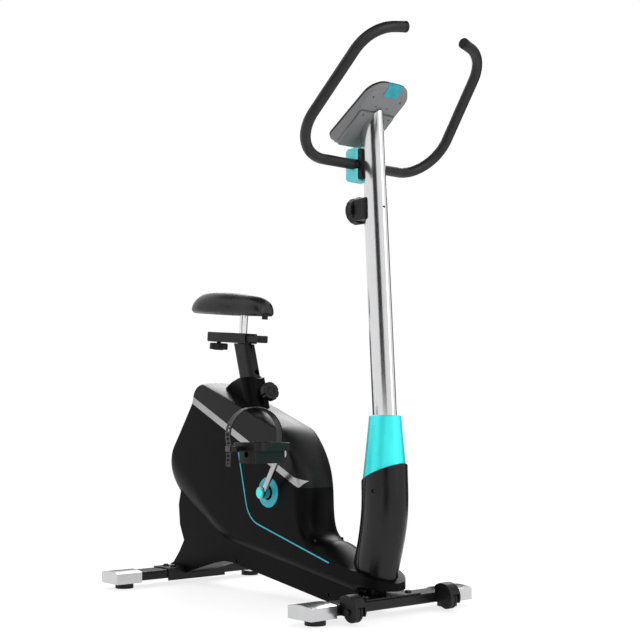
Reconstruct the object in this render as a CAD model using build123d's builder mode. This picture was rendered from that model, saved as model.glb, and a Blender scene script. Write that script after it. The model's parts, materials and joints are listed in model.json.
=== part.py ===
from build123d import *

import os
from math import cos, radians, sin, sqrt, tan

os.makedirs("parts", exist_ok=True)

# Upright exercise bike with belt drive and magnetic resistance.
# X points forward, Y to the rider's left and Z up. The origin is on the floor,
# under the middle of the bike's box. Points of side views are (X, Z) pairs.

# Clearances
fit = 0.3
run = 0.05
slide_gap = 0.4

# Stabilisers, end caps and feet
stance_width = 520
front_x = 316
rear_x = -461.5
foot_y = 212
foot_radius = 24
foot_neck = 20
foot_height = 15
foot_step = 4
cap_width = 78
cap_side = 28
cap_height = 33
cap_length = 78
cap_floor = 3
cap_end_wall = 8
cap_round = 3
tube_width = 66
tube_height = 24
tube_corner = 5
tube_wall = 2
tube_z = foot_height + cap_floor + fit + tube_height / 2
tube_top = tube_z + tube_height / 2
tube_half = stance_width / 2 - cap_end_wall - fit

# Saddles that hold the stabilisers, and their dome nuts
saddle_plate = 3
saddle_skirt = 18
rear_saddle_half = 95
front_saddle_half = 88
saddle_top = tube_top + fit + saddle_plate
nut_radius = 8
nut_height = 6
nut_y = 68
rear_nut_spread = 17
front_nut_ahead = 10

# Transport wheels
wheel_radius = 24
wheel_width = 20
wheel_from_cap = 30
wheel_y = stance_width / 2 - cap_length - wheel_from_cap
wheel_z = 29
wheel_gap = 2
tread_depth = 1.5
tread_half = 1.5
wheel_bolt_radius = 5
wheel_bolt_head = 8
wheel_cheek = 6
hood_radius = 33
hood_back = 6
hood_lift = 4
hood_cut = 9
wheel_x = front_x + tube_width / 2 + wheel_radius + wheel_gap

# Front post and its neck
post_lean = 3.32
post_foot = (344, 45)
post_half_x = 35
post_half_y = 20.5
post_end = 13
post_wall = 2
post_bottom = 320
neck_top = 410
neck_foot = (284, tube_top + fit)
neck_knee = 215
neck_half_x = post_half_x - post_wall - fit
neck_half_y = post_half_y - post_wall - fit
neck_end = post_end - post_wall - fit

# Welded frame
beam_rear = (-395, 132)
beam_front = (292, 74)
beam_height = 44
beam_width = 44
tail_top = (-388, 132)
tail_foot = (-446, tube_top + fit + saddle_plate / 2)
tail_depth = 28
upright_depth = 36
bb_radius = 24
bb_half = 26
bearing_radius = 18
bearing_width = 11

# Seat tube and seat post
frame_wall = 3
seat_lean = 16.4
seat_point = (-190, 553)
seat_tube_down = 455
seat_travel_down = 50
seat_post_x = 64
seat_post_y = 34
seat_hole = 6.5
seat_hole_pitch = 32.5
seat_holes = (-4, 2)
seat_post_wall = 2
seat_tube_wall = 3
seat_post_top = 96
seat_post_length = 330

# Crank set and pedals
crank = (-38, 267)
crank_length = 150
crank_angle = 42
axle_radius = 10
arm_clear = 2.5
boss_length = 22
arm_thick = 10
arm_width = 16
arm_round = 4
arm_kick = 33
arm_bend = 28
boss_radius = 15
cap_disc_radius = 12
cap_disc_thick = 3
eye_radius = 13
spindle_radius = 7
pedal_length = 110
pedal_width = 104
pedal_gap = 3
pedal_corner = 18
pedal_rim = 8
pedal_rim_low = 9
pedal_rim_high = 28
pedal_core_length = 62
pedal_core_low = -21
pedal_bar = 7
pedal_bar_drop = 4
strap_width = 34
strap_thick = 2.4
strap_turn = 16
strap_rise = 112
strap_inner = -44
strap_outer = 84
strap_tail = -28
lug_width = 24
lug_length = 18
lug_height = 10

# Drive: pulley, flywheel, belt, idler and magnet bracket
pulley_radius = 85
pulley_y = 34
pulley_width = 12
pulley_hole = 20
pulley_hole_ring = 52
flywheel = (-270, 310)
flywheel_radius = 105
flywheel_width = 24
flywheel_rim = 22
flywheel_web = 8
flywheel_axle_radius = 8
flywheel_hub = 24
plate_radius = 22
plate_thick = 6
plate_gap = 4
small_pulley_radius = 17
belt_thick = 2
belt_width = 9
idler_radius = 16
idler_pin = 5
magnet_gap = 4
magnet_thick = 8
magnet_width = 34
magnet_arc = 70
magnet_pivot_z = 424
magnet_clear = 13
magnet_pin = 5
magnet_ear = 10
magnet_ear_y = 6.4
magnet_ear_thick = 5
magnet_open = 6

# Drive housing: outline at mid width and at the flat sides, nose to beam to tail
shell_half = 60
shell_wall = 5
lower_half = 45
shell_rim = [
    (-495, 320), (-390, 492), (-376, 527), (-320, 545), (-10, 435), (28, 411), (70, 360),
    (96, 312), (104, 262), (104, 205), (118, 172), (146, 158), (185, 150), (362, 76),
    (362, 58), (286, 56), (268, 38), (-155, 106), (-241, 118), (-314, 153), (-488, 255),
]
shell_face = [
    (-453, 377), (-371, 487), (-360, 520), (-311, 538), (-12, 424), (14, 402), (42, 360),
    (56, 313), (61, 260), (69, 204), (84, 164), (110, 137), (149, 120), (300, 98),
    (300, 68), (286, 71), (268, 74), (-188, 155), (-258, 187), (-331, 240), (-407, 312),
]
shell_runs = [
    (0, 1), (1, 2, 3), (3, 4), (4, 5, 6, 7, 8, 9, 10, 11, 12), (12, 13),
    (13, 14), (14, 15), (15, 16), (16, 17), (17, 18, 19, 20, 0),
]
pocket_runs = [
    (0, 1), (1, 2, 3), (3, 4), (4, 5, 6, 7, 8, 9, 10, 11), (11, 17), (17, 18, 19, 20, 0),
]
drum_middle = (-170, 320)
shell_stations = (-1, -0.85, -0.5, 0, 0.5, 0.85, 1)
tail_outline = [
    (-440, 262), (-452, 215), (-446, 160), (-426, 118), (-446, 88), (-474, 56),
    (-492, 48), (-422, 48), (-420, 30), (-350, 50), (-282, 69), (-242, 77), (-208, 77),
    (177, 16), (276, 14), (276, 54), (200, 80), (-150, 150), (-300, 230), (-400, 300),
]
beam_room = [
    (-430, 255), (-443, 214), (-438, 164), (-400, 110), (-345, 60), (-282, 76), (-242, 83), (-208, 83),
    (177, 22), (222, 21), (222, 100), (149, 112), (-150, 160), (-300, 235), (-395, 300),
]
strip_rear = (-420, 525)
strip_front = (70, 296)
strip_width = 19
strip_low = (75, 283)
strip_tip = (91, 299.5)
strip_kink = (60, 308.5)
lip_z = 283
lip_lean = 2
lip_foot = (110, 160)
accent_points = [(-163, 364), (-119, 195), (190, 112)]
accent_bend = 70
accent_width = 3.5
accent_depth = 1.5
accent_proud = 0.4
shell_screws = [(122, 157, 47.5), (-186, 82, 41), (175, 33, 41)]
shell_screw_radius = 5
ring_radius = 38
ring_hole = 19
ring_thick = 3.5

# Seat sleeve on the hood
sleeve_outline = [(-322, 505), (-284, 534), (-243, 549), (-202, 558), (-162, 561), (-149, 556), (-118, 450)]
sleeve_low = 440
sleeve_half = 34
sleeve_wall = 3
sleeve_tail_back = 104
sleeve_tail_radius = 9
sleeve_boss = 11
sleeve_round = 12

# Front boot and collar: (height, middle X, half length, half width)
boot_sections = [
    (66, 284, 60, 47), (120, 293, 62, 49), (190, 311, 62, 50), (262, 319, 62, 50), (370, 320, 60, 49),
]
collar_sections = [(270, 319, 63, 52), (461, 321, 44, 31)]
oval_end = 0.72
boot_wall = 4
boot_line = [(306, 330), (300, 262), (291, 190), (280, 130), (284, 100), (312, 82), (370, 78)]
boot_groove_width = 3
boot_groove_depth = 2.5
boot_screw = (331, 287)
collar_wall = 3
collar_roof = 6
collar_bevel = 2
seam_rear = (262, 302)
seam_front = (382, 352)
seam_gap = 0.5

# Handlebar
bar_x = 244
bar_z = 1063
bar_radius = 11
bar_wall = 2
bar_corner_y = 237
bar_horn = (472, 186.5, 1316)
bar_tip = (489.6, 102, 1328)
bar_low_bend = 98
bar_high_bend = 94
grip_radius = 12.7
grip_start = 28
plug_radius = 13
plug_length = 9

# Handlebar clamp
clamp_half_y = 24
clamp_half_z = 36
clamp_rear = 14
clamp_front = 24
clamp_cover_wall = 4
clamp_cover_front = 12
clamp_cover_slant = 10
clamp_cover_round = 5

# Tension knob
tension_z = 954
tension_half_y = 25
tension_half_z = 27
tension_rear_x = 240
tension_front_x = 279
knob_radius = 33
knob_length = 22
knob_flutes = 14
flute_radius = 4
knob_stem = 5
knob_stem_length = 7

# Lobed clamp knobs
lobe_knob_radius = 25
lobe_count = 7
lobe_cut = 5
lobe_knob_length = 18
lobe_round = 3.5
screw_radius = 6
seat_knob_down = 53
sleeve_front = 60

# Saddle slide
slide_lean = 4.57
slide_from_seat = (-42.5, 113.3)
slide_point = (seat_point[0] + slide_from_seat[0], seat_point[1] + slide_from_seat[1])
rail_rear = -110
rail_front = 94
rail_width = 34
rail_height = 19
rail_wall = 2
channel_rear = -124
channel_front = 44
channel_wall = 3.5
slot_half = 10
slot_rear = -66
stalk_half_y = 8
stalk_half_x = 20
stalk_x = 17
slide_knob_x = -98
slide_knob_drop = 3

# Saddle
stem_x = 8
stem_radius = 11
stem_height = 48
pan_thick = 5
pan_inset = 28
saddle_sections = [
    (-148, 46, 35), (-124, 78, 54), (-82, 88, 64), (-20, 74, 63), (45, 48, 56), (90, 32, 48), (111, 20, 33),
]
bump_x = 98
bump_radius = 8
bump_height = 9

# Console: a wedge between the rider's face and a steeper back
console_point = (187.5, 1130)
console_tilt = 32.5
console_wedge = 5
console_length = 204
console_half = 65
console_low_corner = 24
console_high_corner = 44
console_front_thick = 8
console_edge_round = 3
console_back_low = 26
console_back_deep = 32
console_back_taper = 24
console_block_half = 54
console_block_low = 14
console_block_high = 122
console_block_height = 5
console_groove = 2.5
console_screw_radius = 2.6
console_screw_depth = 4
console_screws = [(-44, 164), (44, 164), (-42, 112), (42, 112), (-44, 6), (44, 6)]
hump_half = 46
hump_low = 72
hump_high = 168
hump_height = 20
hump_round = 12
lens_inset = 9
lens_thick = 2
button_radius = 9
button_height = 3
button_up = 38
button_spread = 26
button_travel = 1.5
tab_half = 22
tab_low = 172
tab_thick = 1.2

# Sizes that follow from the others
arm_inner_y = shell_half + ring_thick + arm_clear
arm_root_y = arm_inner_y + boss_length / 2
arm_eye_y = arm_root_y + arm_kick
pedal_inner_y = arm_eye_y + arm_thick / 2 + pedal_gap
ear_reach = magnet_clear + seat_post_x / 2


def side_plane(x, z, y=0.0):
    """A sketch plane seen from the bike's right: local X is forward, local Y is up."""
    return Plane(origin=(x, y, z), x_dir=(1, 0, 0), z_dir=(0, -1, 0))


def along(start, end):
    """A sketch plane at start that faces end, both in the middle plane."""
    step_x = end[0] - start[0]
    step_z = end[1] - start[1]
    return Plane(origin=(start[0], 0, start[1]), x_dir=(step_z, 0, -step_x), z_dir=(step_x, 0, step_z))


def span(start, end):
    """The distance between two side view points."""
    return sqrt((end[0] - start[0]) ** 2 + (end[1] - start[1]) ** 2)


def leaning(point, lean, rise):
    """A plane square to a line that leans back, at a distance up that line."""
    angle = radians(lean)
    origin = (point[0] - rise * sin(angle), 0, point[1] + rise * cos(angle))
    return Plane(origin=origin, x_dir=(cos(angle), 0, sin(angle)), z_dir=(-sin(angle), 0, cos(angle)))


def on_line(point, lean, rise):
    """The side view point at a distance up a line that leans back."""
    angle = radians(lean)
    return (point[0] - rise * sin(angle), point[1] + rise * cos(angle))


def seat_axis(z):
    """How far forward the middle line of the seat tube is at a height."""
    return seat_point[0] + (seat_point[1] - z) * tan(radians(seat_lean))


def seat_tube_front(z):
    """How far forward the front wall of the seat tube is at a height."""
    half = seat_post_x / 2 + slide_gap + seat_tube_wall
    return seat_axis(z) + half / cos(radians(seat_lean))


def seat_tube_back(z):
    """How far forward the rear wall of the seat tube is at a height."""
    return 2 * seat_axis(z) - seat_tube_front(z)


magnet_pivot = (seat_tube_back(magnet_pivot_z) - magnet_clear, magnet_pivot_z)


def beam_height_at(x):
    """Height of the beam's middle line."""
    share = (x - beam_rear[0]) / (beam_front[0] - beam_rear[0])
    return beam_rear[1] + share * (beam_front[1] - beam_rear[1])


def draw_oval(half_x, half_y, end, middle=0.0):
    """Draws an oval of four arcs, with the given end radius, in the current line block."""
    side = ((half_x - end) ** 2 + half_y**2 - end**2) / (2 * (half_y - end))
    touch_x = (half_x - end) * side / (side - end)
    touch_y = (side - half_y) * end / (side - end)
    ThreePointArc((middle + touch_x, -touch_y), (middle + half_x, 0), (middle + touch_x, touch_y))
    ThreePointArc((middle + touch_x, touch_y), (middle, half_y), (middle - touch_x, touch_y))
    ThreePointArc((middle - touch_x, touch_y), (middle - half_x, 0), (middle - touch_x, -touch_y))
    ThreePointArc((middle - touch_x, -touch_y), (middle, -half_y), (middle + touch_x, -touch_y))


# Stabiliser tubes
def stabiliser(x):
    with BuildPart() as tube:
        with BuildSketch(side_plane(x, tube_z)):
            RectangleRounded(tube_width, tube_height, tube_corner)
            offset(amount=-tube_wall, mode=Mode.SUBTRACT)
        extrude(amount=tube_half, both=True)
    return tube


front_stabiliser = stabiliser(front_x)
rear_stabiliser = stabiliser(rear_x)


# Crowned end caps with a socket for the tube
def end_caps(x):
    inner_y = -(stance_width / 2 - cap_length)
    half = cap_width / 2
    with BuildPart() as caps:
        with BuildSketch(side_plane(x, foot_height, inner_y)):
            with BuildLine():
                Polyline((-half, cap_side), (-half, 0), (half, 0), (half, cap_side))
                ThreePointArc((half, cap_side), (0, cap_height), (-half, cap_side))
            make_face()
        extrude(amount=cap_length)
        fillet(caps.faces().sort_by(Axis.Y)[0].edges(), radius=cap_round)
        with BuildSketch(side_plane(x, tube_z, inner_y)):
            RectangleRounded(tube_width + 2 * fit, tube_height + 2 * fit, tube_corner)
        extrude(amount=cap_length - cap_end_wall, mode=Mode.SUBTRACT)
        mirror(about=Plane.XZ)
    return caps


front_caps = end_caps(front_x)
rear_caps = end_caps(rear_x)

# Rubber feet under the caps
foot_places = [(x, y) for x in (front_x, rear_x) for y in (-foot_y, foot_y)]
with BuildPart() as rubber_feet:
    with BuildSketch():
        with Locations(*foot_places):
            Circle(foot_radius)
    extrude(amount=foot_height - foot_step)
    with BuildSketch(Plane.XY.offset(foot_height - foot_step)):
        with Locations(*foot_places):
            Circle(foot_neck)
    extrude(amount=foot_step)

# Dome nuts on the saddles
nut_places = [(rear_x + dx, side * nut_y) for dx in (-rear_nut_spread, rear_nut_spread) for side in (-1, 1)]
nut_places += [(front_x + front_nut_ahead, side * nut_y) for side in (-1, 1)]
with BuildPart() as dome_nuts:
    with BuildSketch(Plane.XY.offset(saddle_top)):
        with Locations(*nut_places):
            Circle(nut_radius)
    extrude(amount=nut_height)
    fillet(dome_nuts.faces().group_by(Axis.Z)[-1].edges(), radius=nut_height - 1)


# Frame members, grown by a clearance when they are cut out of the covers
def frame_members(grow):
    crank_foot = (crank[0], beam_height_at(crank[0]))
    knee = on_line(post_foot, post_lean, neck_knee)
    plate_y = flywheel_width / 2 + plate_gap
    plate_drop = flywheel[1] - beam_height_at(flywheel[0])
    with BuildPart() as members:
        with BuildSketch(along(beam_rear, beam_front)):
            Rectangle(beam_height + 2 * grow, beam_width + 2 * grow)
        extrude(amount=span(beam_rear, beam_front))
        with BuildSketch(along(tail_foot, tail_top)):
            Rectangle(tail_depth + 2 * grow, beam_width + 2 * grow)
        extrude(amount=span(tail_foot, tail_top))
        with BuildSketch(along(crank_foot, crank)):
            Rectangle(upright_depth + 2 * grow, beam_width + 2 * grow)
        extrude(amount=span(crank_foot, crank))
        with BuildSketch(side_plane(*crank, bb_half + grow)):
            Circle(bb_radius + grow)
        extrude(amount=2 * (bb_half + grow))
        with BuildSketch(leaning(seat_point, seat_lean, -seat_tube_down)):
            length = seat_post_x + 2 * (slide_gap + seat_tube_wall + grow)
            width = seat_post_y + 2 * (slide_gap + seat_tube_wall + grow)
            SlotOverall(length, width)
        extrude(amount=seat_tube_down)
        with BuildSketch(
            side_plane(*flywheel, plate_y + plate_thick + grow), side_plane(*flywheel, grow - plate_y)
        ):
            Circle(plate_radius + grow)
            with Locations((0, -plate_drop / 2)):
                Rectangle(2 * (plate_radius + grow), plate_drop)
        extrude(amount=plate_thick + 2 * grow)
        with BuildSketch(along(neck_foot, knee)):
            with BuildLine():
                draw_oval(neck_half_x + grow, neck_half_y + grow, neck_end + grow)
            make_face()
        extrude(amount=span(neck_foot, knee))
        with BuildSketch(leaning(post_foot, post_lean, neck_knee)):
            with BuildLine():
                draw_oval(neck_half_x + grow, neck_half_y + grow, neck_end + grow)
            make_face()
        extrude(amount=neck_top - neck_knee)
        split(bisect_by=Plane.XY.offset(tube_top + fit), keep=Keep.TOP)
    return members


# Welded main frame with its saddles and bores
seat_bore = seat_post_length - seat_post_top + seat_travel_down + 6
seat_screw = on_line(seat_point, seat_lean, -seat_knob_down)
seat_ahead = (seat_screw[0] + cos(radians(seat_lean)), seat_screw[1] + sin(radians(seat_lean)))
seat_screw_plane = along(seat_screw, seat_ahead)
with BuildPart() as main_frame:
    add(frame_members(0).part)
    with BuildSketch(side_plane(rear_x, tube_z)):
        with Locations((0, (saddle_top - tube_z) / 2 - saddle_skirt / 2)):
            Rectangle(tube_width + 2 * (fit + saddle_plate), saddle_top - tube_z + saddle_skirt)
        RectangleRounded(tube_width + 2 * fit, tube_height + 2 * fit, tube_corner, mode=Mode.SUBTRACT)
        with Locations((0, -tube_height / 2)):
            Rectangle(tube_width + 2 * fit, tube_height, mode=Mode.SUBTRACT)
    extrude(amount=rear_saddle_half, both=True)
    with BuildSketch(Plane.XY.offset(tube_top + fit)):
        with Locations((front_x, 0)):
            Rectangle(tube_width, 2 * front_saddle_half)
    extrude(amount=saddle_plate)
    with BuildSketch(
        side_plane(*magnet_pivot, magnet_ear_y + magnet_ear_thick), side_plane(*magnet_pivot, -magnet_ear_y)
    ):
        with BuildLine():
            Polyline((0, magnet_ear), (ear_reach, magnet_ear), (ear_reach, -magnet_ear), (0, -magnet_ear))
            ThreePointArc((0, -magnet_ear), (-magnet_ear, 0), (0, magnet_ear))
        make_face()
    extrude(amount=magnet_ear_thick)
    with BuildSketch(side_plane(*magnet_pivot)):
        Circle(magnet_pin)
    extrude(amount=magnet_ear_y + magnet_ear_thick, both=True)
    with BuildSketch(side_plane(*crank, bb_half)):
        Circle(bearing_radius + run)
    extrude(amount=2 * bb_half, mode=Mode.SUBTRACT)
    with BuildSketch(leaning(seat_point, seat_lean, -seat_bore)):
        SlotOverall(seat_post_x + 2 * slide_gap, seat_post_y + 2 * slide_gap)
    extrude(amount=seat_bore, mode=Mode.SUBTRACT)
    with BuildSketch(side_plane(*flywheel, shell_half)):
        Circle(flywheel_axle_radius + run)
    extrude(amount=2 * shell_half, mode=Mode.SUBTRACT)
    with BuildSketch(seat_screw_plane):
        Circle(screw_radius + fit)
    extrude(amount=seat_post_x, mode=Mode.SUBTRACT)
    with BuildSketch(along(beam_rear, beam_front)):
        Rectangle(beam_height - 2 * frame_wall, beam_width - 2 * frame_wall)
    extrude(amount=span(beam_rear, beam_front) - beam_height, mode=Mode.SUBTRACT)
    with BuildSketch(leaning(post_foot, post_lean, neck_knee)):
        with BuildLine():
            draw_oval(neck_half_x - frame_wall, neck_half_y - frame_wall, neck_end - frame_wall)
        make_face()
    extrude(amount=neck_top - neck_knee, mode=Mode.SUBTRACT)


# Drive housing: one closed form first, then the hollow shells cut from it
def shell_section(share):
    """The housing outline between the flat side (0) and mid width (1)."""
    return [
        (face[0] + share * (rim[0] - face[0]), face[1] + share * (rim[1] - face[1]))
        for rim, face in zip(shell_rim, shell_face)
    ]


def draw_shell(share, inset=0.0):
    """Draws the housing outline, or one drawn in towards the drum's middle, in the current line block."""
    points = shell_section(share)
    if inset > 0:
        far = [span(point, drum_middle) for point in points]
        points = [
            (x + (drum_middle[0] - x) * inset / reach, z + (drum_middle[1] - z) * inset / reach)
            for (x, z), reach in zip(points, far)
        ]
    for picks in shell_runs if inset == 0 else pocket_runs:
        if len(picks) == 2:
            Line(points[picks[0]], points[picks[1]])
        else:
            run_in = Vector(*points[picks[0]]) - Vector(*points[picks[0] - 1])
            run_out = Vector(*points[picks[-1] + 1]) - Vector(*points[picks[-1]])
            Spline(*[points[pick] for pick in picks], tangents=(run_in, run_out))


def oval_loft(sections, grow=0.0):
    """A smooth form through upright oval sections."""
    with BuildPart() as form:
        for height, middle, half_x, half_y in sections:
            with BuildSketch(Plane.XY.offset(height)):
                with BuildLine():
                    draw_oval(half_x + grow, half_y + grow, oval_end * half_y + grow, middle)
                make_face()
        loft()
    return form


with BuildPart() as shell_outer:
    for station in shell_stations:
        with BuildSketch(side_plane(0, 0, -station * shell_half)):
            with BuildLine():
                draw_shell(sqrt(1 - station**2))
            make_face()
    loft()
    with BuildSketch(side_plane(0, 0)):
        Polygon(*tail_outline, align=None)
    extrude(amount=lower_half, both=True)

frame_room = frame_members(1)
boot_room = oval_loft(boot_sections, seam_gap)

pocket_steps = (
    (0, shell_half - shell_wall),
    (0.52, 0.85 * shell_half - shell_wall),
    (0.86, 0.5 * shell_half - shell_wall),
)

with BuildPart() as shell_body:
    add(shell_outer.part)
    for share, half in pocket_steps:
        with BuildSketch(side_plane(0, 0)):
            with BuildLine():
                draw_shell(share, 1.6 * shell_wall)
            make_face()
        extrude(amount=half, both=True, mode=Mode.SUBTRACT)
    with BuildSketch(side_plane(0, 0)):
        Polygon(*beam_room, align=None)
    extrude(amount=lower_half - shell_wall, both=True, mode=Mode.SUBTRACT)
    add(frame_room.part, mode=Mode.SUBTRACT)
    add(boot_room.part, mode=Mode.SUBTRACT)
    with BuildSketch(side_plane(*crank)):
        Circle(ring_hole)
    extrude(amount=2 * shell_half, both=True, mode=Mode.SUBTRACT)

# Trim strip line, and the zones above, on and below it
strip_length = span(strip_rear, strip_front)
strip_step = (
    (strip_front[0] - strip_rear[0]) / strip_length,
    (strip_front[1] - strip_rear[1]) / strip_length,
)
far_x = 2 * front_x
far_z = 2 * seat_point[1]


def beside_strip(point, away):
    """A point moved square to the trim strip, upwards when away is positive."""
    return (point[0] - away * strip_step[1], point[1] + away * strip_step[0])


edge = strip_width / 2
hood_zone = [
    beside_strip(strip_rear, edge), (strip_kink[0], strip_kink[1] + seam_gap),
    (strip_tip[0] + seam_gap, strip_tip[1]), (strip_low[0] + 2 * seam_gap, lip_z),
    (far_x, lip_z), (far_x, far_z), (-far_x, far_z), (-far_x, strip_rear[1] + edge),
]
housing_zone = [
    beside_strip(strip_rear, -edge), (strip_low[0], lip_z - seam_gap), (far_x, lip_z - seam_gap),
    (far_x, -far_z), (-far_x, -far_z), (-far_x, strip_rear[1] - edge),
]
strip_zone = [
    beside_strip(strip_rear, seam_gap / 2 - edge), strip_low, strip_tip, strip_kink,
    beside_strip(strip_rear, edge - seam_gap / 2),
]


def shell_cut(zone, side):
    """The share of the hollow housing on one side of the bike, inside a side view zone."""
    with BuildPart() as piece:
        add(shell_body.part)
        with BuildSketch(side_plane(0, 0, side * seam_gap / 4)):
            Polygon(*zone, align=None)
        extrude(amount=-side * 2 * shell_half, mode=Mode.INTERSECT)
    return piece


def accent_band(width, low, high):
    """The curved accent line on both flat sides, between two distances from mid width."""
    with BuildPart() as band:
        with BuildSketch(side_plane(0, 0, -low)):
            with BuildLine() as path:
                FilletPolyline(*accent_points, radius=accent_bend)
            trace(path.line, line_width=width)
        extrude(amount=high - low)
        mirror(about=Plane.XZ)
    return band


accent_lines = accent_band(accent_width, shell_half - accent_depth, shell_half + accent_proud)
accent_groove = accent_band(accent_width + fit, shell_half - accent_depth, shell_half + accent_depth)


# What is shaved off the nose so that the hood overhangs it
with BuildPart() as nose_shave:
    with BuildSketch(side_plane(0, 0)):
        Polygon((0, lip_foot[1]), (far_x, lip_foot[1]), (far_x, lip_z), (0, lip_z), align=None)
    extrude(amount=2 * shell_half, both=True)
    lip_axis = Axis((lip_foot[0], 0, lip_foot[1]), (0, 1, 0))
    add(shell_outer.part.rotate(lip_axis, -lip_lean), mode=Mode.SUBTRACT)

# Recesses for the screws that join the two halves
with BuildPart() as screw_wells:
    for x, z, depth in shell_screws:
        with BuildSketch(side_plane(x, z, -2 * shell_half)):
            Circle(shell_screw_radius)
        extrude(amount=depth - 2 * shell_half)
    mirror(about=Plane.XZ)


def housing_half(side):
    with BuildPart() as half:
        add(shell_cut(housing_zone, side).part)
        add(accent_groove.part, mode=Mode.SUBTRACT)
        add(nose_shave.part, mode=Mode.SUBTRACT)
        add(screw_wells.part, mode=Mode.SUBTRACT)
    return half


housing_right = housing_half(-1)
housing_left = housing_half(1)
hood_right = shell_cut(hood_zone, -1)
hood_left = shell_cut(hood_zone, 1)
with BuildPart() as trim_strips:
    add(shell_cut(strip_zone, -1).part)
    add(shell_cut(strip_zone, 1).part)

# Rings round the crank axle
with BuildPart() as crank_rings:
    with BuildSketch(side_plane(*crank, -shell_half)):
        Circle(ring_radius)
        Circle(ring_hole, mode=Mode.SUBTRACT)
    extrude(amount=ring_thick)
    chamfer(crank_rings.faces().sort_by(Axis.Y)[0].outer_wire().edges(), length=1.2)
    mirror(about=Plane.XZ)

# Seat sleeve that sits on the hood
with BuildPart() as seat_sleeve:
    with BuildSketch(Plane.XY.offset(sleeve_low)):
        with Locations((seat_tube_front(sleeve_low) + fit + sleeve_wall - sleeve_half, 0)):
            Circle(sleeve_half)
        with Locations((seat_axis(sleeve_low) - sleeve_tail_back, 0)):
            Circle(sleeve_tail_radius)
        make_hull()
    extrude(amount=seat_tube_down, dir=leaning(seat_point, seat_lean, 0).z_dir)
    with BuildSketch(side_plane(0, 0)) as sleeve_side:
        Polygon(*sleeve_outline, align=None)
        fillet(sleeve_side.vertices().sort_by(Axis.Y)[-3:], radius=sleeve_round)
    extrude(amount=sleeve_half, both=True, mode=Mode.INTERSECT)
    add(Pos(0, 0, seam_gap) * shell_outer.part, mode=Mode.SUBTRACT)
    with BuildSketch(seat_screw_plane):
        Circle(sleeve_boss)
    extrude(amount=sleeve_front - 4 * fit)
    with BuildSketch(leaning(seat_point, seat_lean, -2 * seat_knob_down)):
        inner_x = seat_post_x + 2 * (slide_gap + seat_tube_wall + fit)
        inner_y = seat_post_y + 2 * (slide_gap + seat_tube_wall + fit)
        SlotOverall(inner_x, inner_y)
    extrude(amount=4 * seat_knob_down, mode=Mode.SUBTRACT)
    with BuildSketch(seat_screw_plane):
        Circle(screw_radius + fit)
    extrude(amount=2 * seat_post_x, mode=Mode.SUBTRACT)

# Boot halves and collar round the neck
seam_slope = (seam_front[1] - seam_rear[1]) / (seam_front[0] - seam_rear[0])


def above_seam(lift):
    """A half space tool above the slanted seam between boot and collar."""
    with BuildPart() as tool:
        with BuildSketch(side_plane(0, 0)):
            low = seam_rear[1] + lift - seam_slope * seam_rear[0]
            Polygon((0, low), (far_x, low + far_x * seam_slope), (far_x, far_z), (0, far_z), align=None)
        extrude(amount=2 * shell_half, both=True)
    return tool


# Step line moulded round each side of the boot, and its screw recess
with BuildPart() as boot_groove:
    with BuildSketch(side_plane(0, 0)):
        with BuildLine() as path:
            Spline(*boot_line)
        trace(path.line, line_width=boot_groove_width)
    extrude(amount=2 * shell_half, both=True)
    with BuildSketch(side_plane(*boot_screw)):
        Circle(shell_screw_radius)
    extrude(amount=2 * shell_half, both=True)
    add(oval_loft(boot_sections, -boot_groove_depth).part, mode=Mode.SUBTRACT)


def boot_half(side):
    with BuildPart() as half:
        add(oval_loft(boot_sections).part)
        add(oval_loft(boot_sections, -boot_wall).part, mode=Mode.SUBTRACT)
        add(above_seam(-seam_gap).part, mode=Mode.SUBTRACT)
        add(frame_room.part, mode=Mode.SUBTRACT)
        add(boot_groove.part, mode=Mode.SUBTRACT)
        with BuildSketch(side_plane(0, 0, side * seam_gap / 4)):
            Rectangle(2 * far_x, 2 * far_z)
        extrude(amount=-side * 2 * shell_half, mode=Mode.INTERSECT)
    return half


boot_right = boot_half(-1)
boot_left = boot_half(1)

with BuildPart() as post_collar:
    add(oval_loft(collar_sections).part)
    chamfer(post_collar.faces().sort_by(Axis.Z)[-1].edges(), length=collar_bevel)
    add(above_seam(0).part, mode=Mode.INTERSECT)
    add(Pos(0, 0, -collar_roof) * oval_loft(collar_sections, -collar_wall).part, mode=Mode.SUBTRACT)
    with BuildSketch(leaning(post_foot, post_lean, post_bottom)):
        with BuildLine():
            draw_oval(post_half_x + fit, post_half_y + fit, post_end + fit)
        make_face()
    extrude(amount=neck_top, mode=Mode.SUBTRACT)

# Console directions: u runs up the console, n points out of its face
console_angle = radians(console_tilt)


def console_plane(up, out):
    """A plane on the console that faces the rider, at distances up it and out of it."""
    x = console_point[0] + up * cos(console_angle) - out * sin(console_angle)
    z = console_point[1] + up * sin(console_angle) + out * cos(console_angle)
    return Plane(origin=(x, 0, z), x_dir=(0, -1, 0), z_dir=(-sin(console_angle), 0, cos(console_angle)))


def console_back_plane(up, out):
    """The same plane turned to face away from the rider."""
    face = console_plane(up, out)
    return Plane(origin=face.origin, x_dir=(0, 1, 0), z_dir=-face.z_dir)


def draw_console(grow):
    """Draws the console outline in the current line block."""
    half = console_half + grow
    low = -grow
    high = console_length + grow
    corners = [(-half, low), (half, low), (half, high), (-half, high)]
    radii = [console_low_corner, console_low_corner, console_high_corner, console_high_corner]
    FilletPolyline(*corners, radius=radii, close=True)


def console_rear_face(out):
    """The plane of the console's steeper back, moved out by a distance."""
    corner = console_plane(0, -console_back_low).origin
    angle = radians(console_tilt + console_wedge)
    away = Vector(sin(angle), 0, -cos(angle))
    return Plane(origin=corner + away * out, x_dir=(0, 1, 0), z_dir=away)


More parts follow.
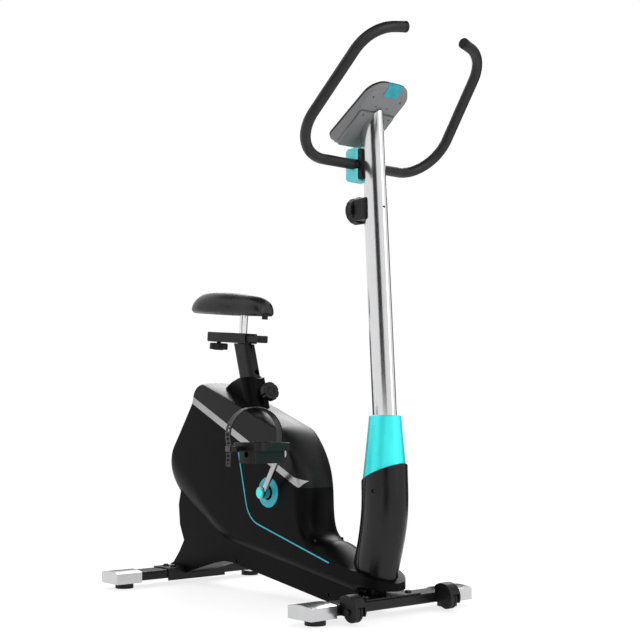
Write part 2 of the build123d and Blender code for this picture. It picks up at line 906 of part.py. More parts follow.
# Front post, cut off at the console block and notched for the bar
with BuildPart() as front_post:
    with BuildSketch(leaning(post_foot, post_lean, post_bottom)):
        with BuildLine():
            draw_oval(post_half_x, post_half_y, post_end)
        make_face()
        with BuildLine():
            draw_oval(post_half_x - post_wall, post_half_y - post_wall, post_end - post_wall)
        make_face(mode=Mode.SUBTRACT)
    extrude(amount=console_point[1])
    split(bisect_by=console_rear_face(console_block_height), keep=Keep.TOP)
    with BuildSketch(side_plane(bar_x, bar_z)):
        Circle(bar_radius + fit)
    extrude(amount=post_half_y, both=True, mode=Mode.SUBTRACT)
    with BuildSketch(Plane((0, 0, tension_z), z_dir=(1, 0, 0))):
        Circle(knob_stem + 2 * fit)
    extrude(amount=post_foot[0] - post_half_x, mode=Mode.SUBTRACT)

# The post's outer form, for the pieces that wrap it
with BuildPart() as post_room:
    with BuildSketch(leaning(post_foot, post_lean, post_bottom)):
        with BuildLine():
            draw_oval(post_half_x + fit, post_half_y + fit, post_end + fit)
        make_face()
    extrude(amount=console_point[1])


# Handlebar path: straight runs joined by round bends
def bend(before, corner, after, radius):
    """Start, middle and end of a round bend at a corner."""
    before, corner, after = Vector(before), Vector(corner), Vector(after)
    back = (before - corner).normalized()
    ahead = (after - corner).normalized()
    half = radians(back.get_angle(ahead)) / 2
    middle = (back + ahead).normalized()
    reach = radius / tan(half)
    centre = corner + middle * (radius / sin(half))
    return corner + back * reach, centre - middle * radius, corner + ahead * reach


bar_corner = (bar_x, bar_corner_y, bar_z)
low_bend = bend((bar_x, 0, bar_z), bar_corner, bar_horn, bar_low_bend)
high_bend = bend(bar_corner, bar_horn, bar_tip, bar_high_bend)
tip_step = (Vector(bar_tip) - Vector(bar_horn)).normalized()


def half_bar(start_y, outer, inner):
    """A tube along the left half of the handlebar, from a distance off mid width to the tip."""
    with BuildPart() as half:
        with BuildLine() as path:
            Line((bar_x, start_y, bar_z), low_bend[0])
            ThreePointArc(*low_bend)
            Line(low_bend[2], high_bend[0])
            ThreePointArc(*high_bend)
            Line(high_bend[2], bar_tip)
        with BuildSketch(Plane((bar_x, start_y, bar_z), z_dir=(0, 1, 0))):
            Circle(outer)
            Circle(inner, mode=Mode.SUBTRACT)
        sweep(path=path.line)
    return half


with BuildPart() as handlebar:
    add(half_bar(0, bar_radius, bar_radius - bar_wall).part)
    mirror(about=Plane.XZ)

with BuildPart() as bar_grips:
    add(half_bar(grip_start, grip_radius, bar_radius + fit).part)
    mirror(about=Plane.XZ)

with BuildPart() as bar_end_plugs:
    with BuildSketch(Plane(bar_tip, z_dir=tip_step)):
        Circle(plug_radius)
    extrude(amount=plug_length)
    fillet(bar_end_plugs.faces().sort_by(Axis.Y)[0].edges(), radius=2)
    with BuildSketch(Plane(bar_tip, z_dir=tip_step)):
        Circle(bar_radius - bar_wall - fit)
    extrude(amount=-2 * plug_length)
    mirror(about=Plane.XZ)

# Clamp that holds the bar to the post, and its cover
with BuildPart() as bar_clamp:
    with BuildSketch(side_plane(bar_x, bar_z)):
        with Locations(((clamp_front - clamp_rear) / 2, 0)):
            Rectangle(clamp_front + clamp_rear, 2 * clamp_half_z)
    extrude(amount=clamp_half_y, both=True)
    fillet(bar_clamp.edges().filter_by(Axis.Y), radius=3)
    add(post_room.part, mode=Mode.SUBTRACT)
    with BuildSketch(side_plane(bar_x, bar_z)):
        Circle(bar_radius + fit)
    extrude(amount=2 * clamp_half_y, both=True, mode=Mode.SUBTRACT)

with BuildPart() as clamp_cover:
    cover_y = clamp_half_y + clamp_cover_wall
    cover_z = clamp_half_z + clamp_cover_wall
    cover_rear = clamp_rear + 4 * clamp_cover_wall
    with BuildSketch(side_plane(bar_x, bar_z)):
        with Locations(((clamp_cover_front - cover_rear) / 2, 0)):
            Rectangle(clamp_cover_front + cover_rear, 2 * cover_z)
    extrude(amount=cover_y, both=True)
    chamfer(clamp_cover.faces().sort_by(Axis.X)[0].edges().filter_by(Axis.Y), length=clamp_cover_slant)
    fillet(clamp_cover.edges().filter_by(Axis.Z), radius=clamp_cover_round)
    with BuildSketch(side_plane(bar_x, bar_z)):
        with Locations(((clamp_front - clamp_rear - fit) / 2, 0)):
            Rectangle(clamp_front + clamp_rear + fit, 2 * (clamp_half_z + fit))
    extrude(amount=clamp_half_y + fit, both=True, mode=Mode.SUBTRACT)
    add(post_room.part, mode=Mode.SUBTRACT)
    with BuildSketch(side_plane(bar_x, bar_z)):
        Circle(bar_radius + fit)
        with Locations((clamp_cover_front, 0)):
            Rectangle(2 * clamp_cover_front, 2 * (bar_radius + fit))
    extrude(amount=2 * clamp_half_y, both=True, mode=Mode.SUBTRACT)

# Tension knob on its base
tension_plane = Plane((tension_rear_x, 0, tension_z), x_dir=(0, 1, 0), z_dir=(1, 0, 0))
knob_plane = Plane((tension_rear_x - fit, 0, tension_z), x_dir=(0, -1, 0), z_dir=(-1, 0, 0))
with BuildPart() as tension_base:
    with BuildSketch(tension_plane):
        RectangleRounded(2 * tension_half_y, 2 * tension_half_z, 8)
    extrude(amount=tension_front_x - tension_rear_x)
    add(post_room.part, mode=Mode.SUBTRACT)
    with BuildSketch(tension_plane):
        Circle(knob_stem + run)
    extrude(amount=tension_front_x - tension_rear_x, mode=Mode.SUBTRACT)

with BuildPart() as tension_knob:
    with BuildSketch(knob_plane):
        Circle(knob_radius)
    extrude(amount=knob_length)
    fillet(tension_knob.faces().sort_by(Axis.X)[0].edges(), radius=4)
    with BuildSketch(knob_plane):
        with PolarLocations(knob_radius + flute_radius / 2, knob_flutes):
            Circle(flute_radius)
    extrude(amount=knob_length, mode=Mode.SUBTRACT)
    with BuildSketch(knob_plane):
        Circle(knob_stem)
    extrude(amount=-knob_stem_length)

# Console front with the raised display housing, window and two keys
hump_middle = (hump_low + hump_high) / 2
hump_length = hump_high - hump_low
with BuildPart() as console_front:
    with BuildSketch(console_plane(0, 0)):
        with BuildLine():
            draw_console(0)
        make_face()
    extrude(amount=console_front_thick)
    fillet(console_front.faces().sort_by(Axis.Z)[-1].edges(), radius=console_edge_round)
    with BuildSketch(console_plane(hump_middle, 0)):
        RectangleRounded(2 * hump_half, hump_length, hump_round)
    extrude(amount=hump_height, taper=8)
    with BuildSketch(console_plane(hump_middle, hump_height)):
        RectangleRounded(2 * (hump_half - lens_inset), hump_length - 2 * lens_inset, hump_round / 2)
    extrude(amount=-lens_thick, mode=Mode.SUBTRACT)
    with BuildSketch(console_plane(button_up, 0)):
        with Locations((-button_spread, 0), (button_spread, 0)):
            Circle(button_radius + fit)
    extrude(amount=console_front_thick, mode=Mode.SUBTRACT)

with BuildPart() as display_lens:
    with BuildSketch(console_plane(hump_middle, hump_height - lens_thick)):
        lens_x = 2 * (hump_half - lens_inset - fit)
        lens_y = hump_length - 2 * (lens_inset + fit)
        RectangleRounded(lens_x, lens_y, hump_round / 2)
    extrude(amount=lens_thick)


def console_button(side):
    with BuildPart() as button:
        with BuildSketch(console_plane(button_up, button_travel + fit)):
            with Locations((-side * button_spread, 0)):
                Circle(button_radius)
        extrude(amount=console_front_thick + button_height - button_travel - fit)
        chamfer(button.faces().sort_by(Axis.Z)[-1].edges(), length=1)
    return button


button_right = console_button(-1)
button_left = console_button(1)


# Console back: tapered sides, steeper rear face, the block that takes the post, and the top tab
def console_shell(grow):
    with BuildPart() as shell:
        with BuildSketch(console_back_plane(0, 0)):
            with BuildLine():
                draw_console(grow)
            make_face()
        extrude(amount=console_back_deep, taper=console_back_taper)
        split(bisect_by=console_rear_face(grow), keep=Keep.BOTTOM)
    return shell


block_middle = (console_block_low + console_block_high) / 2
block_length = console_block_high - console_block_low
with BuildPart() as console_back:
    add(console_shell(0).part)
    with BuildSketch(console_rear_face(-console_groove)):
        with Locations((0, block_middle)):
            RectangleRounded(2 * (console_block_half + console_groove), block_length + 2 * console_groove, 7)
    extrude(amount=console_back_low, mode=Mode.SUBTRACT)
    with BuildSketch(console_rear_face(-2 * console_groove)):
        with Locations((0, block_middle)):
            RectangleRounded(2 * console_block_half, block_length, 5)
    extrude(amount=console_block_height + 2 * console_groove)
    with BuildSketch(console_rear_face(console_block_height)):
        with Locations(*console_screws):
            Circle(console_screw_radius)
    extrude(amount=-console_screw_depth - console_block_height, mode=Mode.SUBTRACT)

with BuildPart() as console_tab:
    add(console_shell(tab_thick).part)
    with BuildSketch(console_back_plane((tab_low + 2 * console_length) / 2, 0)):
        RectangleRounded(2 * tab_half, 2 * console_length - tab_low, 4)
    extrude(amount=2 * console_back_deep, mode=Mode.INTERSECT)
    add(console_shell(0).part, mode=Mode.SUBTRACT)


# Lobed clamp knobs with their screws
def lobe_knob(face, screw_length):
    with BuildPart() as knob:
        with BuildSketch(face):
            Circle(lobe_knob_radius)
        extrude(amount=lobe_knob_length)
        fillet(knob.edges().filter_by(GeomType.CIRCLE), radius=lobe_round)
        with BuildSketch(face):
            with PolarLocations(lobe_knob_radius + lobe_cut / 3, lobe_count):
                Circle(lobe_cut)
        extrude(amount=lobe_knob_length, mode=Mode.SUBTRACT)
        with BuildSketch(face):
            Circle(screw_radius)
        extrude(amount=-screw_length)
    return knob


seat_knob_face = Plane(
    origin=seat_screw_plane.origin + seat_screw_plane.z_dir * sleeve_front,
    x_dir=(0, 1, 0),
    z_dir=seat_screw_plane.z_dir,
)
seat_knob = lobe_knob(seat_knob_face, sleeve_front - seat_post_x / 2 - fit)

# Saddle slide directions: local Z runs forward along the rail, local Y is sideways
slide_angle = radians(slide_lean)


def slide_point_at(forward, up):
    """The side view point at distances along and above the slide rail."""
    x = slide_point[0] + forward * cos(slide_angle) + up * sin(slide_angle)
    z = slide_point[1] - forward * sin(slide_angle) + up * cos(slide_angle)
    return (x, z)


def across_slide(forward, up=0.0):
    """A plane square to the rail: local X is down, local Y is the bike's Y."""
    return along(slide_point_at(forward, up), slide_point_at(forward + 1, up))


def over_slide(forward, up):
    """A plane above the rail: local X is forward, local Y is the bike's Y."""
    point = slide_point_at(forward, up)
    return Plane(
        origin=(point[0], 0, point[1]),
        x_dir=(cos(slide_angle), 0, -sin(slide_angle)),
        z_dir=(sin(slide_angle), 0, cos(slide_angle)),
    )


channel_half = rail_height / 2 + slide_gap + channel_wall

# Seat post with the slide rail welded on
with BuildPart() as seat_post:
    with BuildSketch(leaning(seat_point, seat_lean, seat_post_top - seat_post_length)):
        SlotOverall(seat_post_x, seat_post_y)
    extrude(amount=seat_post_length + seat_post_x)
    split(bisect_by=over_slide(0, -channel_half - 1), keep=Keep.BOTTOM)
    with BuildSketch(leaning(seat_point, seat_lean, seat_post_top - seat_post_length)):
        SlotOverall(seat_post_x - 2 * seat_post_wall, seat_post_y - 2 * seat_post_wall)
    extrude(amount=seat_post_length - seat_post_y, mode=Mode.SUBTRACT)
    with BuildSketch(seat_screw_plane):
        for step in range(seat_holes[0], seat_holes[1] + 1):
            with Locations((-step * seat_hole_pitch, 0)):
                Circle(seat_hole)
    extrude(amount=seat_post_x, mode=Mode.SUBTRACT)
    with BuildSketch(over_slide(stalk_x, -channel_half - seat_post_y / 2)):
        Rectangle(2 * stalk_half_x, 2 * stalk_half_y)
    extrude(amount=channel_half + seat_post_y / 2)
    with BuildSketch(across_slide(rail_rear)):
        RectangleRounded(rail_height, rail_width, 3)
    extrude(amount=rail_front - rail_rear)
    with BuildSketch(across_slide(rail_rear)):
        Rectangle(rail_height - 2 * rail_wall, rail_width - 2 * rail_wall)
    extrude(amount=stalk_x - stalk_half_x - rail_rear, mode=Mode.SUBTRACT)

# Channel that slides on the rail
with BuildPart() as slide_channel:
    with BuildSketch(across_slide(channel_rear)):
        inner_z = rail_height + 2 * slide_gap
        inner_y = rail_width + 2 * slide_gap
        RectangleRounded(inner_z + 2 * channel_wall, inner_y + 2 * channel_wall, 4)
        RectangleRounded(inner_z, inner_y, 3, mode=Mode.SUBTRACT)
    extrude(amount=channel_front - channel_rear)
    with BuildSketch(over_slide((slot_rear + channel_front) / 2, -channel_half)):
        Rectangle(channel_front - slot_rear, 2 * slot_half)
    extrude(amount=channel_wall + slide_gap / 2, mode=Mode.SUBTRACT)
    with BuildSketch(over_slide(slide_knob_x, -channel_half)):
        Circle(screw_radius + run)
    extrude(amount=channel_wall + slide_gap / 2, mode=Mode.SUBTRACT)

slide_knob_top = slide_point_at(slide_knob_x, -channel_half - slide_knob_drop)
slide_knob_face = along(slide_knob_top, slide_point_at(slide_knob_x, -channel_half - slide_knob_drop - 1))
slider_knob = lobe_knob(slide_knob_face, slide_knob_drop + channel_wall + slide_gap - fit)

# Stem, pan and cushion of the saddle
saddle_half = max(half for x, half, height in saddle_sections)
pan_low = channel_half + stem_height
with BuildPart() as saddle_stem:
    with BuildSketch(over_slide(stem_x, channel_half)):
        Circle(stem_radius)
    extrude(amount=stem_height)

with BuildPart() as saddle_pan:
    with BuildSketch(over_slide(0, pan_low)):
        middle_sections = saddle_sections[1:]
        right = [(x, pan_inset * half / saddle_half - half) for x, half, height in middle_sections]
        left = [(x, half - pan_inset * half / saddle_half) for x, half, height in reversed(middle_sections)]
        with BuildLine():
            Spline(*right)
            Line(right[-1], left[0])
            Spline(*left)
            Line(left[-1], right[0])
        make_face()
    extrude(amount=pan_thick)
    with BuildSketch(over_slide(bump_x, pan_low)):
        Circle(bump_radius)
    extrude(amount=-bump_height)

with BuildPart() as saddle_cushion:
    for x, half, height in saddle_sections:
        flank = [(0, 0.9), (0.3, 1.03), (0.72, 0.86), (0.94, 0.5)]
        right = [(-height * up, -half * out) for up, out in flank]
        left = [(-height * up, half * out) for up, out in reversed(flank)]
        with BuildSketch(across_slide(x, pan_low)):
            with BuildLine():
                Line(left[-1], right[0])
                Spline(*right, (-height, 0), *left)
            make_face()
    loft()
    add(saddle_pan.part, mode=Mode.SUBTRACT)

# Crank axle in its two bearings
with BuildPart() as axle_bearings:
    with BuildSketch(side_plane(*crank, -bb_half), side_plane(*crank, bb_half - bearing_width)):
        Circle(bearing_radius)
        Circle(axle_radius + run, mode=Mode.SUBTRACT)
    extrude(amount=-bearing_width)

axle_half = arm_inner_y + boss_length
with BuildPart() as crank_axle:
    with BuildSketch(side_plane(*crank)):
        Circle(axle_radius)
    extrude(amount=axle_half, both=True)


def on_crank(angle, reach):
    """The side view point at a distance from the crank axle."""
    return (crank[0] + reach * cos(radians(angle)), crank[1] + reach * sin(radians(angle)))


# Crank arms, kicked outwards, with the pedal spindle fixed in the eye
def crank_arm(side, angle):
    first = side * arm_root_y
    last = side * arm_eye_y
    lower = Plane(
        origin=(crank[0], 0, crank[1]),
        x_dir=(cos(radians(angle)), 0, sin(radians(angle))),
        z_dir=(-sin(radians(angle)), 0, cos(radians(angle))),
    )
    eye = on_crank(angle, crank_length)
    with BuildPart() as arm:
        with BuildLine(lower) as path:
            FilletPolyline((0, first), (0.85 * crank_length, last), (crank_length, last), radius=arm_bend)
        with BuildSketch(Plane(path.line @ 0, x_dir=lower.z_dir, z_dir=path.line % 0)):
            RectangleRounded(arm_width, arm_thick, arm_round)
        sweep(path=path.line)
        with BuildSketch(side_plane(*crank, side * arm_inner_y)):
            Circle(boss_radius)
        extrude(amount=-side * boss_length)
        with BuildSketch(side_plane(*eye, last - side * arm_thick / 2)):
            Circle(eye_radius)
        extrude(amount=-side * arm_thick)
        with BuildSketch(side_plane(*eye, last)):
            Circle(spindle_radius)
        extrude(amount=-side * (pedal_inner_y + 0.8 * pedal_width - arm_eye_y))
        with BuildSketch(side_plane(*crank)):
            Circle(axle_radius + run)
        extrude(amount=2 * arm_inner_y, both=True, mode=Mode.SUBTRACT)
    return arm


crank_arm_right = crank_arm(-1, crank_angle)
crank_arm_left = crank_arm(1, crank_angle + 180)

with BuildPart() as crank_caps:
    with BuildSketch(side_plane(*crank, -axle_half)):
        Circle(cap_disc_radius)
    extrude(amount=cap_disc_thick)
    fillet(crank_caps.faces().sort_by(Axis.Y)[0].edges(), radius=1.5)
    mirror(about=Plane.XZ)


# Pedals: rim, tread bars and core that runs on the spindle
def pedal(side, angle):
    eye = on_crank(angle, crank_length)
    middle_y = side * (pedal_inner_y + pedal_width / 2)
    with BuildPart() as body:
        with BuildSketch(Plane.XY.offset(eye[1] + pedal_rim_low)):
            with Locations((eye[0], middle_y)):
                RectangleRounded(pedal_length, pedal_width, pedal_corner)
                inner_x = pedal_length - 2 * pedal_rim
                inner_y = pedal_width - 2 * pedal_rim
                RectangleRounded(inner_x, inner_y, pedal_corner - pedal_rim, mode=Mode.SUBTRACT)
        extrude(amount=pedal_rim_high - pedal_rim_low)
        with BuildSketch(Plane.XY.offset(eye[1] + pedal_rim_low)):
            with Locations((eye[0], middle_y)):
                with GridLocations(0, pedal_width / 4, 1, 3):
                    Rectangle(pedal_length - pedal_rim, pedal_bar)
        extrude(amount=pedal_rim_high - pedal_rim_low - pedal_bar_drop)
        with BuildSketch(Plane.XY.offset(eye[1] + pedal_core_low)):
            with Locations((eye[0], middle_y)):
                RectangleRounded(pedal_core_length, pedal_width - pedal_rim, 6)
        extrude(amount=pedal_rim_low - pedal_core_low)
        with BuildSketch(Plane.XY.offset(eye[1] + pedal_rim_low)):
            with Locations((eye[0] + strap_foot_x(1), middle_y + side * (pedal_width / 2 + lug_length / 2))):
                Rectangle(lug_width, lug_length)
        extrude(amount=lug_height)
        with BuildSketch(side_plane(*eye)):
            Circle(spindle_radius + run)
        extrude(amount=-side * 2 * pedal_inner_y, mode=Mode.SUBTRACT)
    return body


def strap_foot_x(end):
    """How far the strap's inner (0) or outer (1) leg is ahead of the pedal's middle."""
    reach = strap_inner if end == 0 else strap_outer
    return -reach * sin(radians(strap_turn))


# Toe straps: an arch from the rim's inner side to the outer lug, with a loose tail
def toe_strap(side, angle, body):
    eye = on_crank(angle, crank_length)
    middle_y = side * (pedal_inner_y + pedal_width / 2)
    turn = radians(strap_turn)
    arch = Plane(
        origin=(eye[0], middle_y, eye[1]),
        x_dir=(-sin(turn), side * cos(turn), 0),
        z_dir=(side * cos(turn), sin(turn), 0),
    )
    with BuildPart() as strap:
        with BuildSketch(arch):
            with BuildLine() as path:
                ThreePointArc(
                    (strap_inner, pedal_rim_high),
                    ((strap_inner + strap_outer) / 2, strap_rise),
                    (strap_outer, pedal_rim_high - 4),
                )
                Line((strap_outer, pedal_rim_high - 4), (strap_outer + 2, strap_tail))
            trace(path.line, line_width=strap_thick)
        extrude(amount=strap_width / 2, both=True)
        add(body.part, mode=Mode.SUBTRACT)
    return strap


pedal_right = pedal(-1, crank_angle)
pedal_left = pedal(1, crank_angle + 180)
strap_right = toe_strap(-1, crank_angle, pedal_right)
strap_left = toe_strap(1, crank_angle + 180, pedal_left)

# Drive pulley on the crank axle
pulley_low = pulley_y - pulley_width / 2
with BuildPart() as drive_pulley:
    with BuildSketch(side_plane(*crank, pulley_low)):
        Circle(pulley_radius)
        Circle(axle_radius + run, mode=Mode.SUBTRACT)
        with PolarLocations(pulley_hole_ring, 5):
            Circle(pulley_hole, mode=Mode.SUBTRACT)
    extrude(amount=-pulley_width)

# Flywheel, and its axle with the small pulley
with BuildPart() as flywheel_disc:
    with BuildSketch(side_plane(*flywheel, flywheel_width / 2)):
        Circle(flywheel_radius)
    extrude(amount=flywheel_width)
    with BuildSketch(side_plane(*flywheel, flywheel_width / 2), side_plane(*flywheel, -flywheel_web / 2)):
        Circle(flywheel_radius - flywheel_rim)
        Circle(flywheel_hub, mode=Mode.SUBTRACT)
    extrude(amount=(flywheel_width - flywheel_web) / 2, mode=Mode.SUBTRACT)
    with BuildSketch(side_plane(*flywheel, flywheel_width / 2)):
        Circle(flywheel_axle_radius + run)
    extrude(amount=flywheel_width, mode=Mode.SUBTRACT)

plate_outer = flywheel_width / 2 + plate_gap + plate_thick
with BuildPart() as flywheel_axle:
    with BuildSketch(side_plane(*flywheel, pulley_y + pulley_width / 2)):
        Circle(flywheel_axle_radius)
    extrude(amount=pulley_y + pulley_width / 2 + plate_outer + plate_gap)
    with BuildSketch(side_plane(*flywheel, pulley_y + pulley_width / 2)):
        Circle(small_pulley_radius)
    extrude(amount=pulley_width)

# Belt round both pulleys
belt_gap = 0.3
with BuildPart() as belt:
    with BuildSketch(side_plane(*crank, pulley_y - belt_width / 2)):
        Circle(pulley_radius + belt_gap + belt_thick)
        with Locations((flywheel[0] - crank[0], flywheel[1] - crank[1])):
            Circle(small_pulley_radius + belt_gap + belt_thick)
        make_hull()
    extrude(amount=-belt_width)
    with BuildSketch(side_plane(*crank, pulley_y - belt_width / 2)):
        Circle(pulley_radius + belt_gap)
        with Locations((flywheel[0] - crank[0], flywheel[1] - crank[1])):
            Circle(small_pulley_radius + belt_gap)
        make_hull()
    extrude(amount=-belt_width, mode=Mode.SUBTRACT)

# Idler wheel under the belt's lower run, on a bracket at the beam's left side
centres = span(crank, flywheel)
belt_line = ((flywheel[0] - crank[0]) / centres, (flywheel[1] - crank[1]) / centres)
belt_cos = (pulley_radius - small_pulley_radius) / centres
belt_sin = sqrt(1 - belt_cos**2)
belt_out = (
    belt_line[0] * belt_cos - belt_line[1] * belt_sin,
    belt_line[0] * belt_sin + belt_line[1] * belt_cos,
)
middle_radius = (pulley_radius + small_pulley_radius) / 2 + belt_gap + belt_thick
idler_reach = middle_radius + belt_gap + idler_radius
idler = (
    (crank[0] + flywheel[0]) / 2 + idler_reach * belt_out[0],
    (crank[1] + flywheel[1]) / 2 + idler_reach * belt_out[1],
)
idler_foot = beam_height_at(idler[0])
with BuildPart() as idler_wheel:
    with BuildSketch(side_plane(*idler, pulley_low)):
        Circle(idler_radius)
        Circle(idler_pin + run, mode=Mode.SUBTRACT)
    extrude(amount=-pulley_width)

with BuildPart() as idler_bracket:
    with BuildSketch(side_plane(*idler, beam_width / 2)):
        Circle(idler_pin + 4)
        with Locations((0, (idler_foot - idler[1]) / 2)):
            Rectangle(2 * (idler_pin + 4), idler[1] - idler_foot)
    extrude(amount=-(pulley_low - beam_width / 2 - 2))
    with BuildSketch(side_plane(*idler, beam_width / 2)):
        Circle(idler_pin)
    extrude(amount=-(pulley_y + pulley_width / 2 - beam_width / 2 + 2))

# Magnet bracket over the flywheel, hinged on the seat tube's ears and swung open at rest
magnet_low = flywheel_radius + magnet_gap
pivot_way = Vector(magnet_pivot[0] - flywheel[0], magnet_pivot[1] - flywheel[1])
magnet_start = Vector(1, 0).get_angle(pivot_way) + 8
with BuildPart() as magnet_closed:
    with BuildSketch(side_plane(*flywheel)):
        Circle(magnet_low + magnet_thick)
        Circle(magnet_low, mode=Mode.SUBTRACT)
        low_angle = radians(magnet_start)
        high_angle = radians(magnet_start + magnet_arc)
        far = 2 * flywheel_radius
        Polygon(
            (0, 0), (far * cos(low_angle), far * sin(low_angle)), (0, 2 * far),
            (far * cos(high_angle), far * sin(high_angle)), align=None, mode=Mode.INTERSECT,
        )
    extrude(amount=magnet_width / 2, both=True)
    with BuildSketch(side_plane(*flywheel)):
        with BuildLine():
            start = radians(magnet_start)
            pivot = (magnet_pivot[0] - flywheel[0], magnet_pivot[1] - flywheel[1])
            mid = magnet_low + magnet_thick / 2
            Polyline(
                (mid * cos(start + 0.2), mid * sin(start + 0.2)), (pivot[0] - 4, pivot[1] + 7),
                (pivot[0] + 6, pivot[1] - 6), (mid * cos(start), mid * sin(start)), close=True,
            )
        make_face()
        with Locations(pivot):
            Circle(magnet_ear)
    extrude(amount=magnet_ear_y - fit, both=True)
    with BuildSketch(side_plane(*magnet_pivot)):
        Circle(magnet_pin + run)
    extrude(amount=magnet_width, both=True, mode=Mode.SUBTRACT)

pivot_axis = Axis((magnet_pivot[0], 0, magnet_pivot[1]), (0, 1, 0))
with BuildPart() as magnet_bracket:
    add(magnet_closed.part.rotate(pivot_axis, magnet_open))

# Transport wheels with their hooded brackets and bolts
cheek_y = wheel_width / 2 + wheel_gap / 2
tube_face = front_x + tube_width / 2
with BuildPart() as wheel_brackets:
    with BuildSketch(side_plane(wheel_x - hood_back, wheel_z + hood_lift, cheek_y + wheel_cheek - wheel_y)):
        Circle(hood_radius)
    extrude(amount=2 * (cheek_y + wheel_cheek))
    fillet(wheel_brackets.edges().filter_by(GeomType.CIRCLE), radius=3)
    with BuildSketch(side_plane(wheel_x, wheel_z, cheek_y - wheel_y)):
        Circle(wheel_radius + wheel_gap)
        with Locations((hood_radius, -hood_radius)):
            Rectangle(2 * hood_radius, 2 * hood_radius + wheel_radius)
    extrude(amount=2 * cheek_y, mode=Mode.SUBTRACT)
    with BuildSketch(side_plane(wheel_x, wheel_z - hood_cut - hood_radius, -wheel_y)):
        Rectangle(4 * hood_radius, 2 * hood_radius)
    extrude(amount=2 * wheel_width, both=True, mode=Mode.SUBTRACT)
    with BuildSketch(side_plane(wheel_x, wheel_z, -wheel_y)):
        Circle(wheel_bolt_radius + run)
    extrude(amount=2 * wheel_width, both=True, mode=Mode.SUBTRACT)
    with BuildSketch(side_plane(tube_face - hood_radius, tube_z, -wheel_y)):
        Rectangle(2 * hood_radius, 4 * hood_radius)
    extrude(amount=2 * wheel_width, both=True, mode=Mode.SUBTRACT)
    mirror(about=Plane.XZ)

bolt_half = cheek_y + wheel_cheek
with BuildPart() as wheel_bolts:
    with BuildSketch(side_plane(wheel_x, wheel_z, -wheel_y)):
        Circle(wheel_bolt_radius)
    extrude(amount=bolt_half, both=True)
    with BuildSketch(side_plane(wheel_x, wheel_z, -wheel_y - bolt_half)):
        Circle(wheel_bolt_head)
    extrude(amount=4)
    mirror(about=Plane.XZ)


def transport_wheel(side):
    with BuildPart() as wheel:
        with BuildSketch(side_plane(wheel_x, wheel_z, side * wheel_y)):
            Circle(wheel_radius)
        extrude(amount=wheel_width / 2, both=True)
        chamfer(wheel.edges(), length=2)
        with BuildSketch(side_plane(wheel_x, wheel_z, side * wheel_y)):
            Circle(wheel_radius + wheel_gap)
            Circle(wheel_radius - tread_depth, mode=Mode.SUBTRACT)
        extrude(amount=tread_half, both=True, mode=Mode.SUBTRACT)
        with BuildSketch(side_plane(wheel_x, wheel_z, side * wheel_y)):
            Circle(wheel_bolt_radius + run)
        extrude(amount=wheel_width, both=True, mode=Mode.SUBTRACT)
    return wheel


transport_wheel_right = transport_wheel(-1)
transport_wheel_left = transport_wheel(1)

# Names and files
front_stabiliser.part.label = "front_stabiliser"
export_step(front_stabiliser.part, "parts/front_stabiliser.step")
rear_stabiliser.part.label = "rear_stabiliser"
export_step(rear_stabiliser.part, "parts/rear_stabiliser.step")
front_caps.part.label = "front_caps"
export_step(front_caps.part, "parts/front_caps.step")
rear_caps.part.label = "rear_caps"
export_step(rear_caps.part, "parts/rear_caps.step")
rubber_feet.part.label = "rubber_feet"
export_step(rubber_feet.part, "parts/rubber_feet.step")
dome_nuts.part.label = "dome_nuts"
export_step(dome_nuts.part, "parts/dome_nuts.step")
main_frame.part.label = "main_frame"
export_step(main_frame.part, "parts/main_frame.step")
housing_right.part.label = "housing_right"
export_step(housing_right.part, "parts/housing_right.step")
housing_left.part.label = "housing_left"
export_step(housing_left.part, "parts/housing_left.step")
hood_right.part.label = "hood_right"
export_step(hood_right.part, "parts/hood_right.step")
hood_left.part.label = "hood_left"
export_step(hood_left.part, "parts/hood_left.step")
trim_strips.part.label = "trim_strips"
export_step(trim_strips.part, "parts/trim_strips.step")
accent_lines.part.label = "accent_lines"
export_step(accent_lines.part, "parts/accent_lines.step")
crank_rings.part.label = "crank_rings"
export_step(crank_rings.part, "parts/crank_rings.step")
seat_sleeve.part.label = "seat_sleeve"
export_step(seat_sleeve.part, "parts/seat_sleeve.step")
boot_right.part.label = "boot_right"
export_step(boot_right.part, "parts/boot_right.step")
boot_left.part.label = "boot_left"
export_step(boot_left.part, "parts/boot_left.step")
post_collar.part.label = "post_collar"
export_step(post_collar.part, "parts/post_collar.step")
front_post.part.label = "front_post"
export_step(front_post.part, "parts/front_post.step")
handlebar.part.label = "handlebar"
export_step(handlebar.part, "parts/handlebar.step")
bar_grips.part.label = "bar_grips"
export_step(bar_grips.part, "parts/bar_grips.step")
bar_end_plugs.part.label = "bar_end_plugs"
export_step(bar_end_plugs.part, "parts/bar_end_plugs.step")
bar_clamp.part.label = "bar_clamp"
export_step(bar_clamp.part, "parts/bar_clamp.step")
clamp_cover.part.label = "clamp_cover"
export_step(clamp_cover.part, "parts/clamp_cover.step")
tension_base.part.label = "tension_base"
export_step(tension_base.part, "parts/tension_base.step")
tension_knob.part.label = "tension_knob"
export_step(tension_knob.part, "parts/tension_knob.step")
console_front.part.label = "console_front"
export_step(console_front.part, "parts/console_front.step")
display_lens.part.label = "display_lens"
export_step(display_lens.part, "parts/display_lens.step")
button_right.part.label = "button_right"
export_step(button_right.part, "parts/button_right.step")
button_left.part.label = "button_left"
export_step(button_left.part, "parts/button_left.step")
console_back.part.label = "console_back"
export_step(console_back.part, "parts/console_back.step")
console_tab.part.label = "console_tab"
export_step(console_tab.part, "parts/console_tab.step")
seat_knob.part.label = "seat_knob"
export_step(seat_knob.part, "parts/seat_knob.step")
seat_post.part.label = "seat_post"
export_step(seat_post.part, "parts/seat_post.step")
slide_channel.part.label = "slide_channel"
export_step(slide_channel.part, "parts/slide_channel.step")
slider_knob.part.label = "slider_knob"
export_step(slider_knob.part, "parts/slider_knob.step")
saddle_stem.part.label = "saddle_stem"
